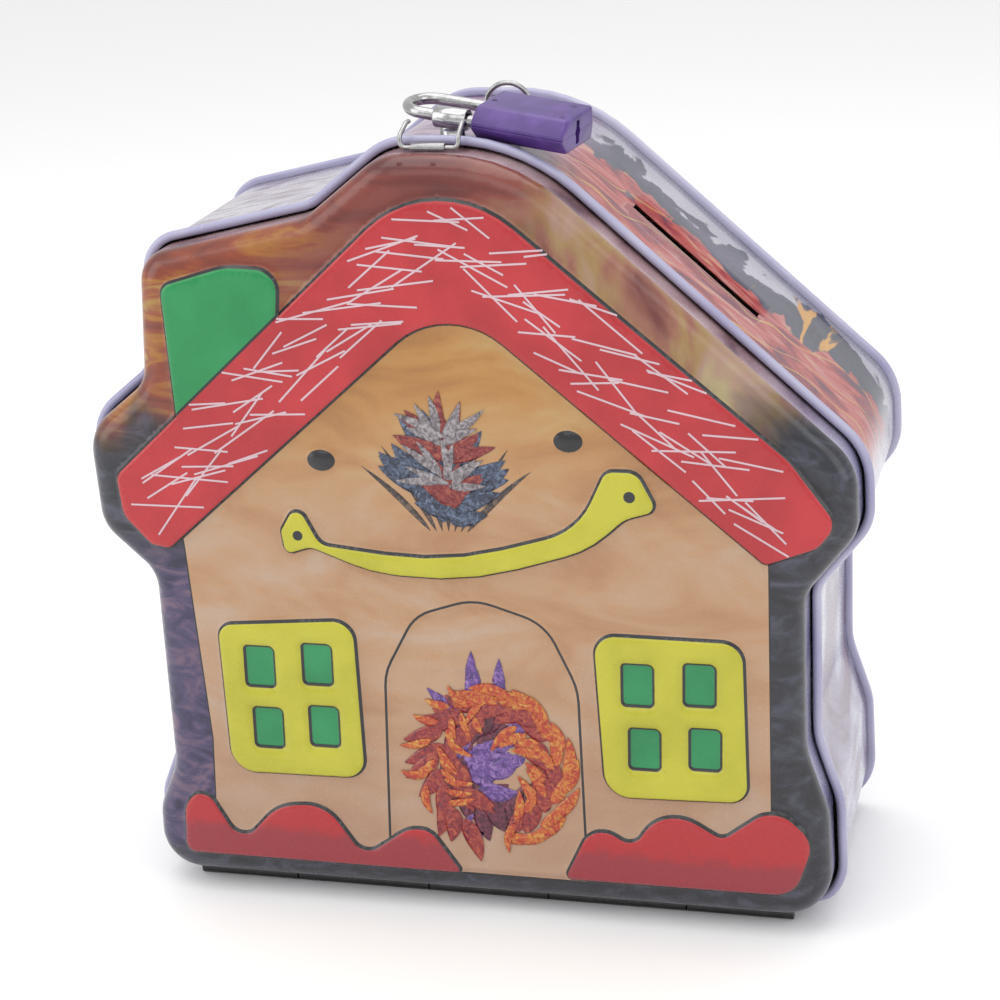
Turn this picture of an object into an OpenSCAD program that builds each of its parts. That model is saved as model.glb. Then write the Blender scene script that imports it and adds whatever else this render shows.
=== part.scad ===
// Tin money box in the shape of a house.
// A drawn and embossed front lid, hinged along its bottom edge, closes a deep band
// bent to the house outline and seamed to a back panel. A small padlock sits in a
// rolled eye on the ridge of the roof, and a wire bail on the lid hooks in front of it.
// Outlines lie in the X-Z plane and y runs from the front of the box to its back.

/* [Body] */
// Depth of the band, from the front bead to the back seam
body_depth = 50; // [40:1:70]
// Thickness of the band's and back panel's sheet
sheet_t = 0.3; // [0.25:0.05:0.4]
// How far the front bead and the back seam stand out of the band
bead_out = 1.4; // [1:0.1:1.6]
// Width of the front bead, along y
bead_w = 2; // [1.6:0.1:2.4]

/* [Lid] */
// Gap between the band and the lid's skirt
lid_gap = 0.5; // [0.4:0.05:0.7]
// Height of the lid's face in front of the bead
face_out = 9; // [7:0.5:10]
// How far the skirt reaches into the band
skirt_in = 3.5; // [2:0.5:5]
// Height of the pressed picture above the lid's face
emboss_h = 1.1; // [0.6:0.1:1.5]
// Thickness of the lid's sheet
lid_t = 0.35; // [0.3:0.05:0.5]

/* [Coin slot] */
// Length of the slot in the right roof slope
slot_len = 31; // [26:1:36]
// Width of the slot
slot_w = 3; // [2.5:0.1:4]
// Distance of the slot behind the front bead
slot_y = 19; // [14:1:26]

/* [Hinge] */
// Length of the hinge along the bottom edge
hinge_len = 122; // [100:2:122]
// Outer radius of the rolled knuckles
knuckle_r = 1.5; // [1.4:0.1:1.6]
// Radius of the hinge wire
pin_r = 0.58; // [0.5:0.02:0.7]

/* [Padlock] */
// Wire radius of the shackle
shackle_r = 1.1; // [1:0.05:1.2]
// Distance between the shackle's legs
shackle_gap = 9; // [8.8:0.1:9.6]
// Length of the case along the shackle's legs
case_len = 18.4; // [18:0.2:20]
// Thickness of the case
case_t = 6.3; // [5.8:0.1:6.4]
// Slope of the padlock, lying on the roof
lock_pitch = 7; // [6.5:0.5:7.5]
// Turn of the padlock towards the front, seen from above
lock_yaw = 12; // [10:1:13]
// Lean of the padlock about its near leg, its back edge higher
lock_roll = 5; // [3:1:6]

/* [Hidden] */
$fn = 48;
e = 0.01;

// Colours
tin_blue = [0.45, 0.46, 0.58];
tin_tan = [0.86, 0.62, 0.36];
steel = [0.78, 0.78, 0.8];
dark_steel = [0.2, 0.2, 0.23];
purple = [0.33, 0.2, 0.6];

// The middle of the whole depth lies on y = 0
seam_back = body_depth + sheet_t;
mid_y = (seam_back - face_out - emboss_h) / 2;

// Levels of the outline: the band's underside and the lid's lower edge
band_foot = bead_out;
lid_foot = 3.4;

// Corners of the house, clockwise from the lower left: [x, z, radius]
function house(foot) = [
    [-68.6, foot, 9], [-68.2, 17, 9], [-64, 27, 11], [-64, 67.5, 6],
    [-74.2, 77, 9], [-75, 97, 10], [-62.5, 107, 6], [-60.8, 132, 7],
    [-27.5, 139.4, 8], [-12.2, 151.4, 12], [12.5, 151.4, 34], [74.6, 95.1, 13],
    [74.9, 81.5, 9], [65, 69, 7], [65, 38, 16], [69.3, 25, 14], [70, foot, 10]
];

// Points of a polygon whose corners are rounded by their own radius
arc_step = 12;
function unit(v) = v / norm(v);
function turn(a, b) = atan2(a[0] * b[1] - a[1] * b[0], a * b);
function corner(p, q, s) =
    let (a = unit([q[0] - p[0], q[1] - p[1]]),
         b = unit([s[0] - q[0], s[1] - q[1]]),
         t = turn(a, b),
         side = t > 0 ? 1 : -1,
         reach = q[2] * tan(abs(t) / 2),
         start = [q[0], q[1]] - a * reach,
         middle = start + side * q[2] * [-a[1], a[0]],
         first = atan2(start[1] - middle[1], start[0] - middle[0]),
         n = max(1, ceil(abs(t) / arc_step)))
    q[2] == 0 ? [[q[0], q[1]]]
    : [for (i = [0 : n]) middle + q[2] * [cos(first + t * i / n), sin(first + t * i / n)]];
function rounded(c) =
    let (n = len(c))
    [for (i = [0 : n - 1]) each corner(c[(i + n - 1) % n], c[i], c[(i + 1) % n])];

// Sheet outlines
module band_shape(grow = 0) {
    offset(delta = grow) polygon(rounded(house(band_foot)));
}

module lid_shape(inset = 0) {
    offset(delta = -sheet_t - lid_gap - inset) polygon(rounded(house(lid_foot - lid_gap - sheet_t)));
}

// Prism of an outline in the X-Z plane, from y = front to y = back
module slab(front, back) {
    translate([0, back - mid_y, 0]) rotate([90, 0, 0]) linear_extrude(back - front) children();
}

// Shape that places a solid drawn with y = 0 on the front bead
module placed() {
    translate([0, -mid_y, 0]) children();
}

// Helical spring along +Z from z = 0, with its ends ground flat by the wire's own radius
function helix_point(turns, length, coil_r, t) =
    [coil_r * cos(360 * turns * t), coil_r * sin(360 * turns * t), length * t];
module spring(turns, length, coil_r, wire_r) {
    sides = 6;
    per_turn = 14;
    n = ceil(turns * per_turn);
    rise = (length - 2 * wire_r) / (2 * PI * coil_r * turns);
    tilt = atan(rise);
    points = [for (i = [0 : n])
        let (c = helix_point(turns, length - 2 * wire_r, coil_r, i / n) + [0, 0, wire_r],
             a = 360 * turns * i / n,
             out = [cos(a), sin(a), 0],
             up = [sin(a) * sin(tilt), -cos(a) * sin(tilt), cos(tilt)])
        for (k = [0 : sides - 1])
            c + wire_r * (cos(360 * k / sides) * out + sin(360 * k / sides) * up)];
    walls = [for (i = [0 : n - 1]) for (k = [0 : sides - 1])
        [i * sides + k, i * sides + (k + 1) % sides,
         (i + 1) * sides + (k + 1) % sides, (i + 1) * sides + k]];
    first = [for (k = [sides - 1 : -1 : 0]) k];
    last = [for (k = [0 : sides - 1]) n * sides + k];
    polyhedron(points, concat(walls, [first], [last]), convexity = 8);
}

// ---- Band ----

// Middle of the coin slot on the right roof slope
roof_angle = atan((151.4 - 95.1) / (74.6 - 12.5));
slot_mid = [41, 125.6];

// Legs of the roof loop and neck of the eye staple, which pass through the band
loop_x = 5;
loop_y = 23;
loop_r = 4.3;
loop_wire = 0.5;
loop_top = 158.8;
eye_x = -1.1;
eye_y = 5.6;
eye_z = 155;
eye_r = 2;
eye_wall = 0.3;
eye_len = 6.4;
eye_tilt = 5;
eye_yaw = 8;
neck_len = 4.6;
neck_t = 0.7;
roof_z = 151.4;

module bead() {
    // Three layers round the bead's outer side; it dies out at the bottom corners
    layers = [[0, 1, 0.55], [0.25, 0.75, 0.85], [0.4, 0.6, 1]];
    intersection() {
        union() {
            for (k = layers)
                slab(k[0] * bead_w * 0.5, bead_w * (1 - k[0] * 0.5)) difference() {
                    band_shape(bead_out * k[2]);
                    band_shape(-e);
                }
        }
        slab(-e, bead_w + e)
            translate([-100, lid_foot]) square([200, 200]);
    }
}

module body_band() {
    color(tin_blue) {
        difference() {
            union() {
                slab(0, body_depth) difference() {
                    band_shape();
                    band_shape(-sheet_t);
                }
                bead();
            }
            // Coin slot
            placed()
                translate([slot_mid[0], slot_y, slot_mid[1]])
                    rotate([0, roof_angle, 0])
                        cube([slot_len, slot_w, 12], center = true);
            // Holes for the eye staple's neck and the roof loop's legs
            placed()
                translate([eye_x - neck_len / 2 - 0.1, eye_y - neck_t / 2 - 0.1, roof_z - 2])
                    cube([neck_len + 0.2, neck_t + 0.2, 4]);
            placed() for (s = [-1, 1])
                translate([loop_x + s * loop_r, loop_y, roof_z - 8])
                    cylinder(h = 12, r = loop_wire);
        }
    }
}

// Panel seamed over the back edge of the band
module back_panel() {
    channel = 2;
    plate_y = body_depth - channel;
    color(tin_blue) {
        slab(plate_y, body_depth) difference() {
            band_shape(bead_out);
            band_shape();
        }
        slab(body_depth, seam_back) difference() {
            band_shape(bead_out);
            band_shape(-2 * sheet_t);
        }
        slab(plate_y, body_depth + e) difference() {
            band_shape(-sheet_t);
            band_shape(-2 * sheet_t);
        }
        slab(plate_y, plate_y + sheet_t) band_shape(-sheet_t - e);
    }
}

// ---- Lid ----

// Picture on the lid, corners as [x, z, radius]
roof_art = [[-57.6, 74, 0], [-62.5, 74, 4], [-70.6, 83.5, 7], [-67.5, 92, 7], [-17, 137.5, 14],
            [1, 149, 11], [20.5, 134, 8], [62.5, 94.5, 10], [72.5, 81, 5], [67, 77, 5],
            [56, 75.6, 0], [0.6, 125.5, 12]];
chimney_art = [[-57, 96, 1], [-57.5, 126, 4], [-32, 131, 6], [-33.6, 116, 1]];
window_left = [[-52.5, 28.5, 7], [-52, 59, 6], [-24, 62, 7], [-23.3, 26, 7]];
window_right = [[25.5, 26.5, 6], [23.4, 60.5, 6], [54, 61.8, 7], [53.8, 26, 6]];
panes_left = [[-47.5, 45.6], [-35.4, 46.4], [-46.5, 32.4], [-35, 33.4]];
panes_right = [[28.2, 46], [40.2, 46.8], [29, 32.8], [41, 33.6]];
pane_w = 7;
pane_h = 9;
smile_art = [[-35.8, 73, 3.4], [-38.4, 80, 2], [-34, 85.6, 2.5], [-27.5, 75.2, 4], [2, 73, 45],
             [26.5, 83, 6], [28.5, 92.5, 3], [35, 93, 4], [38, 85, 4], [30, 79.5, 8],
             [4, 68.6, 40], [-22, 69, 30]];
door_outer = [[-20.2, 14, 0], [-18, 52, 11], [-9, 65.6, 10], [11, 66, 12], [21, 53, 12], [21.6, 18, 0]];
bush_left = [[-63.8, 7.6, 3], [-63.5, 17.5, 5], [-57.8, 22, 4.5], [-51, 10.6, 5], [-40.5, 21.6, 10],
             [-27, 21, 9], [-23.8, 9.6, 3.5], [-12, 20.8, 8], [-5, 7.6, 0]];
bush_right = [[15.4, 7.6, 0], [24.2, 24.4, 6], [30, 14.6, 4], [40, 27.4, 9], [48.8, 18.8, 2.5],
              [59.5, 28.4, 8], [68, 14, 7], [60, 7, 6]];
eyes = [[-27.8, 92.8], [19.9, 97.8]];
eye_spot = 2.4;
grille = [0.6, 52.5];

// Raised and lowered areas; cut > 0 gives the hollow behind them, inside their walls
module art_shapes(cut = 0) {
    offset(delta = -cut) polygon(rounded(roof_art));
    offset(delta = -cut) polygon(rounded(chimney_art));
    offset(delta = -cut) polygon(rounded(smile_art));
    offset(delta = -cut) polygon(rounded(bush_left));
    offset(delta = -cut) polygon(rounded(bush_right));
    offset(delta = -cut) difference() {
        polygon(rounded(window_left));
        for (p = panes_left) translate(p) square([pane_w, pane_h]);
    }
    offset(delta = -cut) difference() {
        polygon(rounded(window_right));
        for (p = panes_right) translate(p) square([pane_w, pane_h]);
    }
}

module low_art(cut = 0) {
    // Ridge round the door and the domes of the eyes, half as high as the rest
    offset(delta = -cut) difference() {
        polygon(rounded(door_outer));
        offset(delta = -1.6) polygon(rounded(door_outer));
    }
    for (p = eyes) translate(p) circle(r = eye_spot - cut);
}

// Steps of the lid's rounded shoulder: [distance in front of the bead, inset of the outline]
shoulder = [[0.5, 0], [0.62, 0.6], [0.78, 1.7], [0.9, 2.9], [1, 4.4]];
rear_cut = 0.8;
low_skirt = 25;

// Bridge over the bail's cross bar, on the lid's top skirt
bail_r = 0.45;
bail_y = -3;
bail_z = 151.3;
bridge_x = [-6.6, -0.2];
bridge_bore = 0.52;
bridge_r = 0.87;

module lid() {
    art_edge = 5;
    color(tin_tan) difference() {
        union() {
            slab(-face_out * shoulder[0][0], skirt_in) lid_shape();
            for (k = [1 : len(shoulder) - 1])
                slab(-face_out * shoulder[k][0], -face_out * shoulder[k - 1][0] + 0.2)
                    lid_shape(shoulder[k][1]);
            slab(-face_out - emboss_h, -face_out + 0.1) intersection() {
                art_shapes();
                lid_shape(art_edge);
            }
            slab(-face_out - emboss_h / 2, -face_out + 0.15) low_art();
            placed() translate([bridge_x[0], bail_y, bail_z]) rotate([0, 90, 0])
                cylinder(h = bridge_x[1] - bridge_x[0], r = bridge_r);
        }
        // The skirt is left off behind the bead line at the feet, which swing down there
        slab(-rear_cut, skirt_in + 1) translate([-100, -10]) square([200, low_skirt + 10]);
        // Hollow of the sheet behind the face and the shoulder
        for (k = [0 : len(shoulder) - 1])
            slab(-face_out * shoulder[k][0] + lid_t, skirt_in + 1) lid_shape(shoulder[k][1] + lid_t);
        slab(-face_out - emboss_h + lid_t, -face_out + 2 * lid_t) intersection() {
            art_shapes(lid_t);
            lid_shape(art_edge + lid_t);
        }
        placed() translate([bridge_x[0] - 1, bail_y, bail_z]) rotate([0, 90, 0])
            cylinder(h = bridge_x[1] - bridge_x[0] + 2, r = bridge_bore);
    }
}

// Wire clip that turns in the bridge and hooks over the bead, in front of the eye
bail_legs = [-8.6, 2.2];
bail_corner = 1;
bail_bend = 3;
bail_end = 1.2;

// Quarter of a ring of the bail's wire, from +X to +Y about the origin
module bail_elbow(r) {
    rotate_extrude(angle = 90) translate([r, 0]) circle(r = bail_r);
}

module bail() {
    rise = bail_z + bail_corner;
    color(steel) placed() {
        translate([bail_legs[0] + bail_corner, bail_y, bail_z]) rotate([0, 90, 0])
            cylinder(h = bail_legs[1] - bail_legs[0] - 2 * bail_corner, r = bail_r);
        translate([bail_legs[1] - bail_corner, bail_y, rise])
            rotate([90, 0, 0]) rotate([0, 0, -90]) bail_elbow(bail_corner);
        translate([bail_legs[0] + bail_corner, bail_y, rise])
            rotate([90, 0, 0]) rotate([0, 0, 180]) bail_elbow(bail_corner);
        for (x = bail_legs) {
            translate([x, bail_y + bail_bend, rise])
                rotate([0, 0, 90]) rotate([90, 0, 0]) rotate([0, 0, 90]) bail_elbow(bail_bend);
            translate([x, bail_y + bail_bend, rise + bail_bend]) rotate([-90, 0, 0])
                cylinder(h = bail_end - bail_y - bail_bend, r = bail_r);
        }
    }
}

// ---- Hinge ----

hinge_y = -1.8;
hinge_z = knuckle_r;
knuckle_gap = 0.3;
// Ends of the knuckles along the hinge, as fractions of half its length
body_knuckles = [[-1, -0.66], [-0.2, 0.2], [0.66, 1]];
lid_knuckles = [[-0.66, -0.2], [0.2, 0.66]];
leaf_t = 0.4;
leaf_depth = 9;

module knuckle(x0, x1, bore) {
    placed() translate([x0, hinge_y, hinge_z]) rotate([0, 90, 0]) difference() {
        cylinder(h = x1 - x0, r = knuckle_r);
        translate([0, 0, -1]) cylinder(h = x1 - x0 + 2, r = bore);
    }
}

// Leaf fixed under the band, with its rolled knuckles
module hinge_leaf_body() {
    color(dark_steel) {
        for (k = body_knuckles) {
            x0 = k[0] * hinge_len / 2;
            x1 = k[1] * hinge_len / 2;
            knuckle(x0, x1, pin_r);
            placed() translate([x0, hinge_y + 0.9, band_foot - leaf_t])
                cube([x1 - x0, leaf_depth - hinge_y - 0.9, leaf_t]);
        }
        placed() translate([-hinge_len / 2, 0.6, band_foot - leaf_t])
            cube([hinge_len, leaf_depth - 0.6, leaf_t]);
    }
}

// Leaf inside the lid's lower skirt, with its knuckles between the body's
module hinge_leaf_lid() {
    wall = 0.35;
    back = hinge_y + knuckle_r;
    floor_z = lid_foot + lid_t;
    color(dark_steel) {
        for (k = lid_knuckles) {
            x0 = k[0] * hinge_len / 2 + knuckle_gap;
            x1 = k[1] * hinge_len / 2 - knuckle_gap;
            knuckle(x0, x1, pin_r + 0.04);
            placed() translate([x0, back - wall, hinge_z]) cube([x1 - x0, wall, floor_z + wall - hinge_z]);
            placed() translate([x0, -4, floor_z]) cube([x1 - x0, back + 4, wall]);
        }
    }
}

// Wire on which the lid turns
module hinge_pin() {
    color(steel) placed() translate([-hinge_len / 2, hinge_y, hinge_z]) rotate([0, 90, 0])
        cylinder(h = hinge_len, r = pin_r);
}

// ---- Hardware on the roof ----

// Sheet rolled into an eye, its neck put through the roof and its tabs bent over inside
module eye_staple() {
    inner_z = roof_z - sheet_t;
    tab_w = 3.4;
    tab_t = 0.4;
    tab_z = inner_z - tab_t - 0.4;
    color(steel) placed() difference() {
        union() {
            translate([eye_x, eye_y, eye_z]) rotate([0, 90 + eye_tilt, -eye_yaw])
                cylinder(h = eye_len, r = eye_r, center = true);
            translate([eye_x - neck_len / 2, eye_y - neck_t / 2, tab_z])
                cube([neck_len, neck_t, eye_z - eye_r * 0.9 - tab_z]);
            translate([eye_x - neck_len / 2, eye_y - tab_w / 2, tab_z])
                cube([neck_len, tab_w, tab_t]);
        }
        translate([eye_x, eye_y, eye_z]) rotate([0, 90 + eye_tilt, -eye_yaw])
            cylinder(h = eye_len + 2, r = eye_r - eye_wall, center = true);
    }
}

// Wire loop on the roof behind the padlock
module roof_loop() {
    arch_z = loop_top - loop_r - loop_wire;
    foot_z = roof_z - 4.5;
    color(steel) placed() {
        translate([loop_x, loop_y, arch_z]) rotate([90, 0, 0])
            rotate_extrude(angle = 180) translate([loop_r, 0]) circle(r = loop_wire);
        for (s = [-1, 1]) translate([loop_x + s * loop_r, loop_y, foot_z])
            cylinder(h = arch_z - foot_z, r = loop_wire);
    }
}

// ---- Padlock, drawn along its near leg: x along the legs, y across them ----

module lock_frame() {
    placed() translate([eye_x, eye_y, eye_z]) rotate([lock_roll, lock_pitch, -lock_yaw]) children();
}

case_x = 4.8;
case_front = -2.4;
case_back = shackle_gap + 2.4;
short_leg = 5.2;
long_leg = 13;
leg_clear = 0.1;
spring_room = 2;
bend_x = -6.4;
pocket = [[3, 14], [1.9, 7.1]];
pocket_z = 1.6;
bolt_x = 3.2;
bolt_len = 2;
bolt_z = 2.4;
bolt_travel = 1;
pin_pos = [5.7, 1.15];
stop_r = 0.5;
flat_y = 0.55;
key_h = 4.4;
key_w = 1.3;
ward_x = 12.4;
rivets = [[1.6, 4.5], [16.6, 1.7], [15.6, 8.4]];
rivet_r = 0.6;

module shackle() {
    color(steel) lock_frame() {
        // U-bend
        translate([bend_x, shackle_gap / 2, 0])
            rotate([0, 0, 90]) rotate_extrude(angle = 180)
                translate([shackle_gap / 2, 0]) circle(r = shackle_r);
        // Long leg, with the flat that the stop pin runs along
        difference() {
            translate([bend_x, 0, 0]) rotate([0, 90, 0])
                cylinder(h = case_x + long_leg - bend_x, r = shackle_r);
            translate([case_x + 5, flat_y, -2]) cube([7.6, 2, 4]);
        }
        // Short leg, with the notch that the latch bolt enters
        difference() {
            translate([bend_x, shackle_gap, 0]) rotate([0, 90, 0])
                cylinder(h = case_x + short_leg - bend_x, r = shackle_r);
            translate([case_x + bolt_x - 0.2, shackle_gap - 2.1, -2]) cube([bolt_len + 0.4, 2, 4]);
        }
    }
}

// Section of the case, its front side sloping
module case_section() {
    h = case_t / 2;
    polygon(rounded([[case_front, 0, 0.6], [case_front + 2.6, h, 1.3], [case_back - 0.5, h, 0.6],
                     [case_back, 0, 0.3], [case_back - 0.5, -h, 0.6], [case_front + 2.6, -h, 1.3]]));
}

module case_solid() {
    translate([case_x, 0, 0]) rotate([90, 0, 90]) linear_extrude(case_len) case_section();
}

// Everything that is hollow in the case
module case_hollows() {
    bore = shackle_r + leg_clear;
    translate([case_x - 1, 0, 0]) rotate([0, 90, 0]) cylinder(h = 1 + long_leg + spring_room, r = bore);
    translate([case_x - 1, shackle_gap, 0]) rotate([0, 90, 0]) cylinder(h = 1 + short_leg + 0.5, r = bore);
    translate([case_x + pocket[0][0], pocket[1][0], -pocket_z])
        cube([pocket[0][1] - pocket[0][0], pocket[1][1] - pocket[1][0], 2 * pocket_z]);
    // Guide of the latch bolt
    translate([case_x + bolt_x - 0.1, pocket[1][1] - 1, -bolt_z / 2 - 0.1])
        cube([bolt_len + 0.2, shackle_gap - pocket[1][1] + 1, bolt_z + 0.2]);
    // Keyhole
    translate([case_x + pocket[0][1] - 1, shackle_gap / 2, 0]) {
        translate([0, -key_w / 2, -key_h / 2]) cube([case_len, key_w, key_h]);
        rotate([0, 90, 0]) cylinder(h = case_len, r = 1);
    }
    translate([case_x + pin_pos[0], pin_pos[1], -case_t]) cylinder(h = 2 * case_t, r = stop_r);
    for (p = rivets)
        translate([case_x + p[0], p[1], -case_t]) cylinder(h = 2 * case_t, r = rivet_r);
}

module case_half(side) {
    color(purple) lock_frame() difference() {
        intersection() {
            case_solid();
            translate([0, -10, side > 0 ? 0 : -10]) cube([40, 40, 10]);
        }
        case_hollows();
    }
}

module case_upper() {
    case_half(1);
}

module case_lower() {
    case_half(-1);
}

// Rivets through both halves
module case_rivets() {
    color(dark_steel) lock_frame()
        for (p = rivets)
            translate([case_x + p[0], p[1], -case_t / 2]) cylinder(h = case_t, r = rivet_r);
}

// Pin across the long leg's flat, which keeps the shackle in the open lock
module stop_pin() {
    color(dark_steel) lock_frame()
        translate([case_x + pin_pos[0], pin_pos[1], -2.2]) cylinder(h = 4.4, r = stop_r);
}

// Plate with the key's slot, across the pocket
module ward_plate() {
    color(steel) lock_frame()
        translate([case_x + ward_x, pocket[1][0], -pocket_z]) difference() {
            cube([0.6, pocket[1][1] - pocket[1][0], 2 * pocket_z]);
            translate([-1, (pocket[1][1] - pocket[1][0]) / 2 - key_w / 2, 0.6])
                cube([3, key_w, 2 * pocket_z - 1.2]);
        }
}

// Bolt that slides across into the short leg's notch, drawn released
bolt_back = 4.3;
bolt_nose = shackle_gap - shackle_r - 0.3;
module latch_bolt() {
    color(steel) lock_frame()
        translate([case_x + bolt_x, bolt_back, -bolt_z / 2])
            cube([bolt_len, bolt_nose - bolt_back, bolt_z]);
}

// Spring behind the bolt
module latch_spring() {
    color(steel) lock_frame()
        translate([case_x + bolt_x + bolt_len / 2, pocket[1][0], 0]) rotate([-90, 0, 0])
            spring(4, bolt_back - pocket[1][0], 0.8, 0.16);
}

// Spring in the long leg's bore, which pushes the case off the legs
module shackle_spring() {
    color(steel) lock_frame()
        translate([case_x + long_leg, 0, 0]) rotate([0, 90, 0])
            spring(4, spring_room, 0.85, 0.16);
}

body_band();
back_panel();
lid();
hinge_leaf_body();
hinge_leaf_lid();
hinge_pin();
bail();
eye_staple();
roof_loop();
shackle();
case_upper();
case_lower();
case_rivets();
stop_pin();
ward_plate();
latch_bolt();
latch_spring();
shackle_spring();
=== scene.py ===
"""Finishes of a house-shaped tin money box: the printed and embossed lid, the bent band,
the hinge, the wire fittings on the ridge and the small padlock."""

import math
import random
from contextlib import contextmanager

import bmesh
import bpy
import numpy as np
from bpy.props import FloatProperty, FloatVectorProperty, IntProperty, PointerProperty
from bpy.types import Operator, Panel, PropertyGroup
from mathutils import Euler, Matrix, Vector
from mathutils.geometry import delaunay_2d_cdt


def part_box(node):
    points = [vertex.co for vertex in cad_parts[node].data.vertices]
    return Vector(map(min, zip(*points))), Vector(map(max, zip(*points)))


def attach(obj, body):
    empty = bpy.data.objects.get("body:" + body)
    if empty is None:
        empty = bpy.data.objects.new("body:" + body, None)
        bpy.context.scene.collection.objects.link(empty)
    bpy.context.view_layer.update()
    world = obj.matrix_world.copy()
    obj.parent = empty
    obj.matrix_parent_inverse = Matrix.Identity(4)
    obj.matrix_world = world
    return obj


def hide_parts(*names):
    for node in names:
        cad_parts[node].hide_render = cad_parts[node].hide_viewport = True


bl_info = {
    "name": "Tin money box",
    "version": (1, 0, 0),
    "blender": (4, 5, 0),
    "location": "View3D > Sidebar > Money box",
    "description": "Prints, embosses and fits out a house-shaped tin money box",
    "category": "Add Mesh",
}

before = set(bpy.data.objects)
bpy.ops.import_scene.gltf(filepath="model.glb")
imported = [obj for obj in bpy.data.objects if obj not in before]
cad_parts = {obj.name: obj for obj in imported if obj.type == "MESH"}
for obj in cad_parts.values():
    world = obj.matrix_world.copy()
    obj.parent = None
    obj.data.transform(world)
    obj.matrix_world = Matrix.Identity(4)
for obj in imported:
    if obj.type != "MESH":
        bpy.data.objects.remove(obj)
MM = 0.001

# Planes of the box, in millimetres along Y, read from the fixed frame
LID_LOW, LID_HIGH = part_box("lid")
BEAD_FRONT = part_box("body_band")[0].y / MM
BACK_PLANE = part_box("back_panel")[1].y / MM
SKIRT_END = LID_HIGH.y / MM
EMBOSS_FRONT = LID_LOW.y / MM

# Corners of the house outline, clockwise from the lower left: x, z, radius
BAND_FOOT = 1.4
LID_FOOT = 2.6
SKIRT_GAP = 0.8


def house(foot):
    """Corners of the outline, with its lower edge at the height foot."""
    return [
        (-68.6, foot, 9), (-68.2, 17, 9), (-64, 27, 11), (-64, 67.5, 6),
        (-74.2, 77, 9), (-75, 97, 10), (-62.5, 107, 6), (-60.8, 132, 7),
        (-27.5, 139.4, 8), (-12.2, 151.4, 12), (12.5, 151.4, 34), (74.6, 95.1, 13),
        (74.9, 81.5, 9), (65, 69, 7), (65, 38, 16), (69.3, 25, 14), (70, foot, 10),
    ]


# Share that every print's colour is multiplied by, and the weight of the lacquer over it
INK = 0.62
PRINT_COAT = 0.2

# Picture on the lid: x, z, radius of each corner
ROOF = [
    (-58.2, 73.8, 2.5), (-62.2, 74.6, 3), (-67.6, 80.6, 5), (-68.3, 89, 3.5), (-0.5, 150.6, 21),
    (62.5, 96.6, 12), (71.2, 84.6, 4), (67.4, 79.6, 5), (57.5, 75.8, 2), (0.3, 124.8, 15),
]
CHIMNEY = [
    (-54.6, 97, 1), (-55.5, 126.8, 3), (-42, 130.8, 14), (-31.2, 130.2, 4.5), (-32.6, 117, 1),
]
WINDOWS = [
    [(-49.9, 27, 5.5), (-50.3, 59.2, 3.5), (-21.7, 61.6, 4.5), (-21.4, 27.4, 4.5)],
    [(25.9, 27, 5.5), (24.6, 61.2, 4.5), (53.6, 61, 4.5), (54.1, 27.7, 4)],
]
PANE_CORNERS = [
    (-45.3, 45.8), (-33.4, 46.9), (-44.5, 32.8), (-32.9, 33.8),
    (29.8, 46.4), (41.6, 47.1), (30.8, 33.3), (42.4, 34),
]
PANE_WIDTH = 6.7
PANE_HEIGHT = 9
SMILE = [
    (-34.9, 73.6, 1.8), (-35.6, 79, 2.2), (-31.6, 85.6, 2.2), (-27.2, 76.8, 3), (-3, 74.2, 60),
    (22.5, 81.6, 14), (28.2, 93.6, 3), (34.6, 93.6, 3.4), (38.6, 85.6, 2.2), (32, 83.6, 6),
    (25, 77.2, 22), (0, 69.4, 60), (-18, 71, 30), (-29.4, 75.4, 3),
]
SMILE_HOLES = [(-31.7, 78.2, 1), (32.9, 88.5, 1.1)]
DOOR = [
    (-18.2, 8, 0), (-16.6, 50.6, 12), (-9.8, 63, 9), (2.2, 67, 12), (16, 62.6, 10),
    (21.9, 49.5, 14), (22.3, 8, 0),
]
BUSHES = [
    [
        (-61.6, 8.2, 2.5), (-60.8, 20.5, 6), (-55.5, 23.5, 3.5), (-49, 12, 3), (-41, 20.8, 10),
        (-30.5, 22, 8), (-23.2, 11.2, 3), (-13, 18.6, 7), (-8.6, 17.4, 5), (-2.4, 8.2, 1),
    ],
    [
        (16.8, 8.6, 1.5), (23.4, 22.4, 5), (31.2, 17.6, 2.5), (37.4, 27.2, 8), (48.6, 20.6, 2),
        (58.8, 28.4, 6), (66.6, 21, 6), (62.6, 8.8, 6),
    ],
]
WALL = [
    (-54.8, 8.8, 0), (-53.6, 34, 9), (-55.8, 77, 2), (0.6, 130, 9), (58.3, 77, 2), (58.1, 8.8, 0),
]
EYES = [(-26.1, 93.3), (21.7, 98.6)]


# ---------------------------------------------------------------- outlines

def rounded(corners, step=9):
    """Points of a closed outline whose corners are arcs of their own radius."""
    points = []
    count = len(corners)
    for i in range(count):
        before = Vector(corners[i - 1][:2])
        here = Vector(corners[i][:2])
        after = Vector(corners[(i + 1) % count][:2])
        radius = corners[i][2]
        a = (here - before).normalized()
        b = (after - here).normalized()
        angle = math.atan2(a.x * b.y - a.y * b.x, a.dot(b))
        if radius <= 0 or abs(angle) < 1e-4:
            points.append(here)
            continue
        side = 1 if angle > 0 else -1
        start = here - a * radius * math.tan(abs(angle) / 2)
        centre = start + Vector((-a.y, a.x)) * radius * side
        first = math.atan2(start.y - centre.y, start.x - centre.x)
        steps = max(2, math.ceil(math.degrees(abs(angle)) / step))
        for k in range(steps + 1):
            t = first + angle * k / steps
            points.append(centre + radius * Vector((math.cos(t), math.sin(t))))
    return points


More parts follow.
